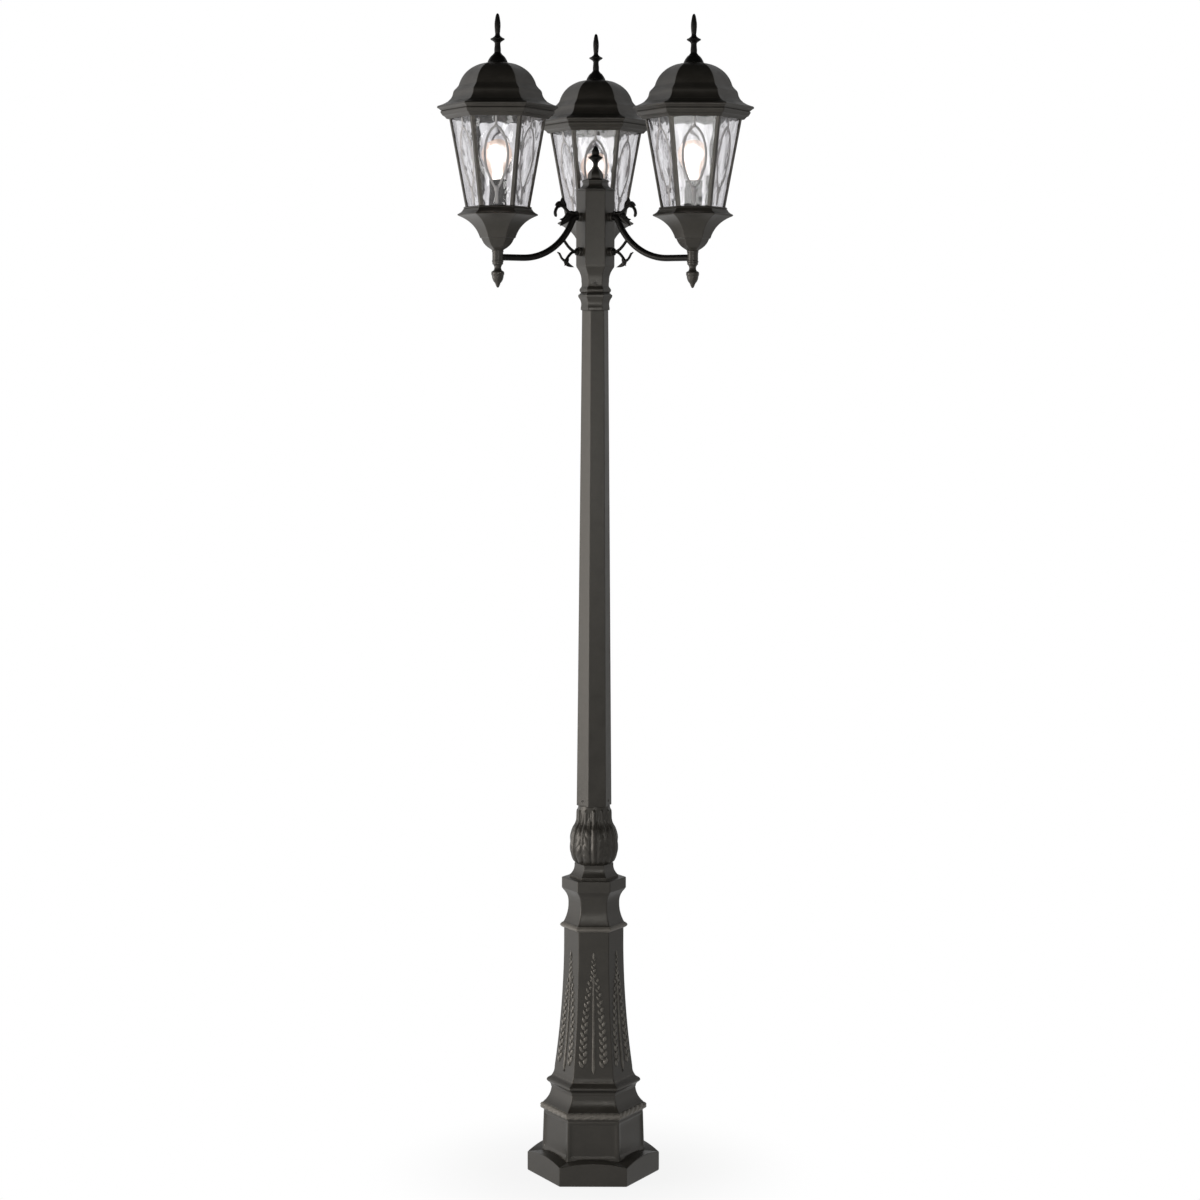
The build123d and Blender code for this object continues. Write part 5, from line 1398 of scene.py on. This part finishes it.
def pane(side, seed):
    """One pane: front and back grids, joined round the edge, and its streak number for painted
    shade.
    """
    up = np.linspace(0, pane_length, 72)[:, None]
    back_half = glass_half + up * np.sin(lean) - GLASS_THICK / cos(lean)
    limit = back_half * tan(pi / 6) - EDGE_GAP
    share = np.linspace(-1, 1, 40)[None]
    x = limit * share
    quiet = ramp(1 - np.abs(share), 0.0, 0.08) * ramp(np.minimum(up, pane_length - up), 0.0, 2.0)
    front = -FRONT_SET_IN + FRONT_RIPPLE * quiet * ripple(x, up, seed)
    back = -GLASS_THICK + BACK_RIPPLE * quiet * ripple(x, up, seed + 50)
    outer, inner = on_pane(x, up, front, side), on_pane(x, up, back, side)[:, ::-1]
    loop = np.concatenate([outer, inner], axis=1)
    sheet = np.concatenate([loop[:1], loop, loop[-1:]])
    sheet[0], sheet[-1] = loop[0].mean(0), loop[-1].mean(0)
    # painted streaks: where this number is high the glass is painted darker, as shade for dark
    # things seen through it
    painted_streak = np.clip(0.55 * ripple(x * 1.4, up * 0.5, seed + 9) + 0.22, 0, 1) ** 1.2
    numbers = np.concatenate([painted_streak, painted_streak[:, ::-1]], axis=1)
    return grid_shape(sheet), np.concatenate([numbers[:1], numbers, numbers[-1:]]).ravel()


panes = [pane(side, 11 + 7 * side) for side in range(6)]
at_lanterns("rippled_panes", joined(*[shape for shape, _ in panes]), water_glass, "panes",
            slot="water_glass", numbers={"painted_streak": np.concatenate([n for _, n in panes])})

# %% Raised lines on the glass
lead_line = metal_coat("lead_line", dark=(0.42, 0.41, 0.415), light=(0.55, 0.54, 0.55),
                       worn=(0.62, 0.61, 0.62), roughness=0.35, specular=0.5, wear=0.4,
                       dust=0.0, grain=1500.0)
LINE_LEVEL, LINE_HEIGHT = -0.45, 1.0


def pane_line(points, width, side):
    """A half-round line laid on a pane through (across, share of the pane's length) points."""
    line = smooth_line([(x, share * pane_length) for x, share in points], 44)
    along, a = heading_of(line), once_round(8)
    ends = rounded(len(line), 0.04)[:, None]
    x = line[:, :1] - width * ends * np.cos(a) * along[:, 1:]
    up = line[:, 1:] + width * ends * np.cos(a) * along[:, :1]
    out = np.broadcast_to(LINE_LEVEL + LINE_HEIGHT * ends * np.sin(a), x.shape)
    return grid_shape(on_pane(x, up, out, side))


def knot(x, share, size, side):
    """A small round boss on the glass."""
    t, a = np.linspace(0, pi, 7)[:, None], once_round(14)
    r = size * np.sin(t)
    return grid_shape(on_pane(x + r * np.cos(a), share * pane_length + 1.25 * r * np.sin(a),
                              np.broadcast_to(-0.4 + 0.45 * size * np.cos(t), (7, 14)), side))


def tracery(side):
    """Pointed arch, its crossing below, the stems to both edges, and the knots."""
    arches = [pane_line([(0, 0.885), (s * 9, 0.84), (s * 17, 0.76), (s * 22, 0.65),
                         (s * 23, 0.54), (s * 20, 0.42), (s * 13, 0.31), (s * 5, 0.215),
                         (0, 0.18)], 2.4, side) for s in (-1, 1)]
    stems = [pane_line([(0, 0.885), (0, 0.93), (0, 0.992)], 2.0, side),
             pane_line([(0, 0.19), (0, 0.12), (0, 0.012)], 3.4, side)]
    return joined(*arches, *stems, knot(0, 0.885, 3.6, side), knot(0, 0.185, 5.4, side))


at_lanterns("pane_lines", joined(*[tracery(side) for side in range(6)]), lead_line)

# %% [markdown]
# ## Roof
# The roof rests on the rail and lifts off by its finial to reach the bulb. Upwards it has a thin
# drip edge, a ledge that slopes inwards, a cove, a soft step and a dome of six curved panels, and
# inside it a lip that keeps it centred. It is a closed skin again, so it looks right from below.

# %% Roof
roof_lip, roof_top = span("roof_left")
roof_rows = np.vstack([
    profile([
        (82.0, rail_top, 0), (98.4, rail_top, 0), (99.6, rail_top + 1.4, 0),
        (103.0, rail_top + 4.6, 0), (106.1, rail_top + 6.4, 0), (105.9, rail_top + 9.4, 0.2),
        (104.6, rail_top + 10.8, 0), (88.2, rail_top + 18.4, -0.8), (86.0, rail_top + 20.6, -0.4),
        (78.0, rail_top + 37.0, -1.8), (74.6, rail_top + 43.4, 0.5),
        (69.6, rail_top + 49.4, -0.2), (67.4, rail_top + 54.0, -0.3),
        (32.0, roof_top - 2.6, 6.6), (21, roof_top - 0.2, 0.4), (19.5, roof_top, 0),
        (3.1, roof_top, 0)], 1.8, 5.0, 9.0),
    [(3.1, roof_top - 4), (24, roof_top - 7.5), (44.0, roof_top - 15), (56.0, roof_top - 32),
     (64.0, roof_top - 57), (70.0, rail_top + 34), (80.0, rail_top + 15), (86.5, rail_top + 11),
     (86.5, rail_top + 3.5), (78.0, rail_top + 3.5), (78.0, roof_lip), (81.6, roof_lip)]])
roof_corner = np.where(roof_rows[:, 0] < 8, ROUND, 1.8)
at_lanterns("roof_casting", walled(roof_rows, hexagon(4), roof_corner), cast_black, "roof",
            body="roof")

# %% Roof finial
flat, tip = roof_top, span("roof_finial_left")[1]
finial_rows = profile([
    (0, flat - 8, 0), (3.0, flat - 8, 0), (3.0, flat, 0), (19.4, flat, 0), (20, flat + 0.6, 0),
    (20, flat + 2.2, 0.3), (18.4, flat + 5.6, 0.2), (12.0, flat + 14.4, 0.5),
    (8.0, flat + 18.6, -0.4), (6.6, flat + 21.0, -0.3), (6.4, flat + 30.0, 0.2),
    (5.9, flat + 39.0, -0.2), (9.6, flat + 43.0, -0.5), (13.6, flat + 45.4, 0),
    (13.6, flat + 48.4, 0.9), (8.2, flat + 51.4, -0.5), (5.4, flat + 53.8, -0.2),
    (4.8, flat + 58.0, -0.1), (5.7, flat + 67.0, 0.2), (6.1, flat + 76.0, 0.2),
    (5.0, flat + 86.0, 0.3), (3.4, flat + 94.4, 0.2), (1.6, flat + 97.6, 0.2), (0, tip, 0)],
    0.5, 8.0, 3.5)
at_lanterns("roof_finial_turning", capped(finial_rows, circle(40)), tube_black, "roof_finial",
            body="roof")

# %% [markdown]
# ## Lamp holder and bulb
# A porcelain holder stands on the deck inside a metal sleeve, and the bulb's threaded cap screws
# into it. The thread is a skin whose radius rises and falls with level minus turn, which is all
# a screw is. The bulb's glass is turned: a neck, a flaring shoulder and a globe.

# %% Sleeve and holder
deck_level, sleeve_top = span("holder_sleeve_left")
sleeve_rows = profile([
    (16.5, deck_level, 0), (18, deck_level, 0), (18, deck_level + 8, 0),
    (17.6, deck_level + 8.6, 0), (17.6, sleeve_top - 3.2, 0), (18, sleeve_top - 2.6, 0.2),
    (18, sleeve_top - 0.5, 0.2), (17.4, sleeve_top, 0), (16.5, sleeve_top, 0)], 0.4, 8.0, 7.0)
at_lanterns("sleeve_turning", walled(sleeve_rows, circle(48)), sleeve_black, "holder_sleeve",
            slot="cast_black")
holder_foot, holder_top = span("lamp_holder_left")
at_lanterns("holder_porcelain", walled(np.vstack([
    profile([(5.05, holder_foot, 0), (15.4, holder_foot, 0), (16.2, holder_foot + 0.8, 0),
             (16.2, holder_top - 1.5, 0), (15.2, holder_top, 0.4), (14.0, holder_top, 0),
             (13.3, holder_top - 0.8, 0)], 0.5, 8.0, 9.0),
    [(13.3, holder_foot + 25.7), (6.0, holder_foot + 25.7), (6.0, holder_foot + 16.0),
     (5.05, holder_foot + 16.0)]]), circle(40)), porcelain, "lamp_holder",
    slot="porcelain")

# %% Threaded cap
cap_low, cap_high = span("bulb_cap_left")
PITCH, THREAD_MEAN, THREAD_DEPTH, CAP_STEPS = 3.63, 12.35, 0.62, 40
cap_levels = np.linspace(cap_low + 5, cap_high - 4.5, 61)
cap_ring = circle(CAP_STEPS)
angle = np.arange(CAP_STEPS) * 2 * pi / CAP_STEPS
thread = THREAD_MEAN + THREAD_DEPTH * np.cos(
    2 * pi * (cap_levels[:, None] - cap_low) / PITCH - angle[None])
threaded = np.dstack([thread[..., None] * cap_ring.normal,
                      np.broadcast_to(cap_levels[:, None], thread.shape)])
below = skin(np.array([(0, cap_low), (3.6, cap_low), (4.0, cap_low + 0.6), (4.6, cap_low + 1.4),
                       (9.5, cap_low + 2.6), (11.6, cap_low + 4.0)]), cap_ring)
above = skin(np.array([(12.7, cap_high - 3.6), (13.0, cap_high - 2.8), (13.0, cap_high - 0.3),
                       (12.8, cap_high), (12.4, cap_high), (11.2, cap_high - 4.6),
                       (11.2, cap_high - 17.5), (0, cap_high - 17.5)]), cap_ring)
at_lanterns("bulb_cap_thread", grid_shape(np.concatenate([below, threaded, above])), cap_metal,
            "bulb_cap", body="bulb_screw", slot="cap_metal")

# %% Bulb glass
glass_low, glass_high = span("bulb_left")
GLOBE = 30.0
globe = arc((0, glass_high - GLOBE), GLOBE, -38, 90, 24)
globe[-1, 0] = 0.0
bulb_rows = np.vstack([
    [(0, glass_low), (11.0, glass_low)],
    thin(soften(np.vstack([[(11.2, glass_low + 0.6), (12.0, glass_low + 3), (12.0, cap_high + 1),
                            (13.4, cap_high + 15)], globe]), 5.0), 5.0, 6.0)])
bulb_rows[-1] = (0, glass_high)
at_lanterns("bulb_glass_blown", capped(bulb_rows, circle(56)), bulb_glass, "bulb",
            body="bulb_glass", slot="bulb_glass")

# %% [markdown]
# ## Pieces that stay as engineered
# The studs, nuts, screws and threaded pipes inside the post are hidden once it is put together.
# They keep their engineered shapes and get bare zinc-plated steel.

# %% Finishes of the inner pieces
for node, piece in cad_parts.items():
    if not piece.hide_render:
        piece.data.materials.clear()
        piece.data.materials.append(screw_steel)
        print(node, "in bare steel")
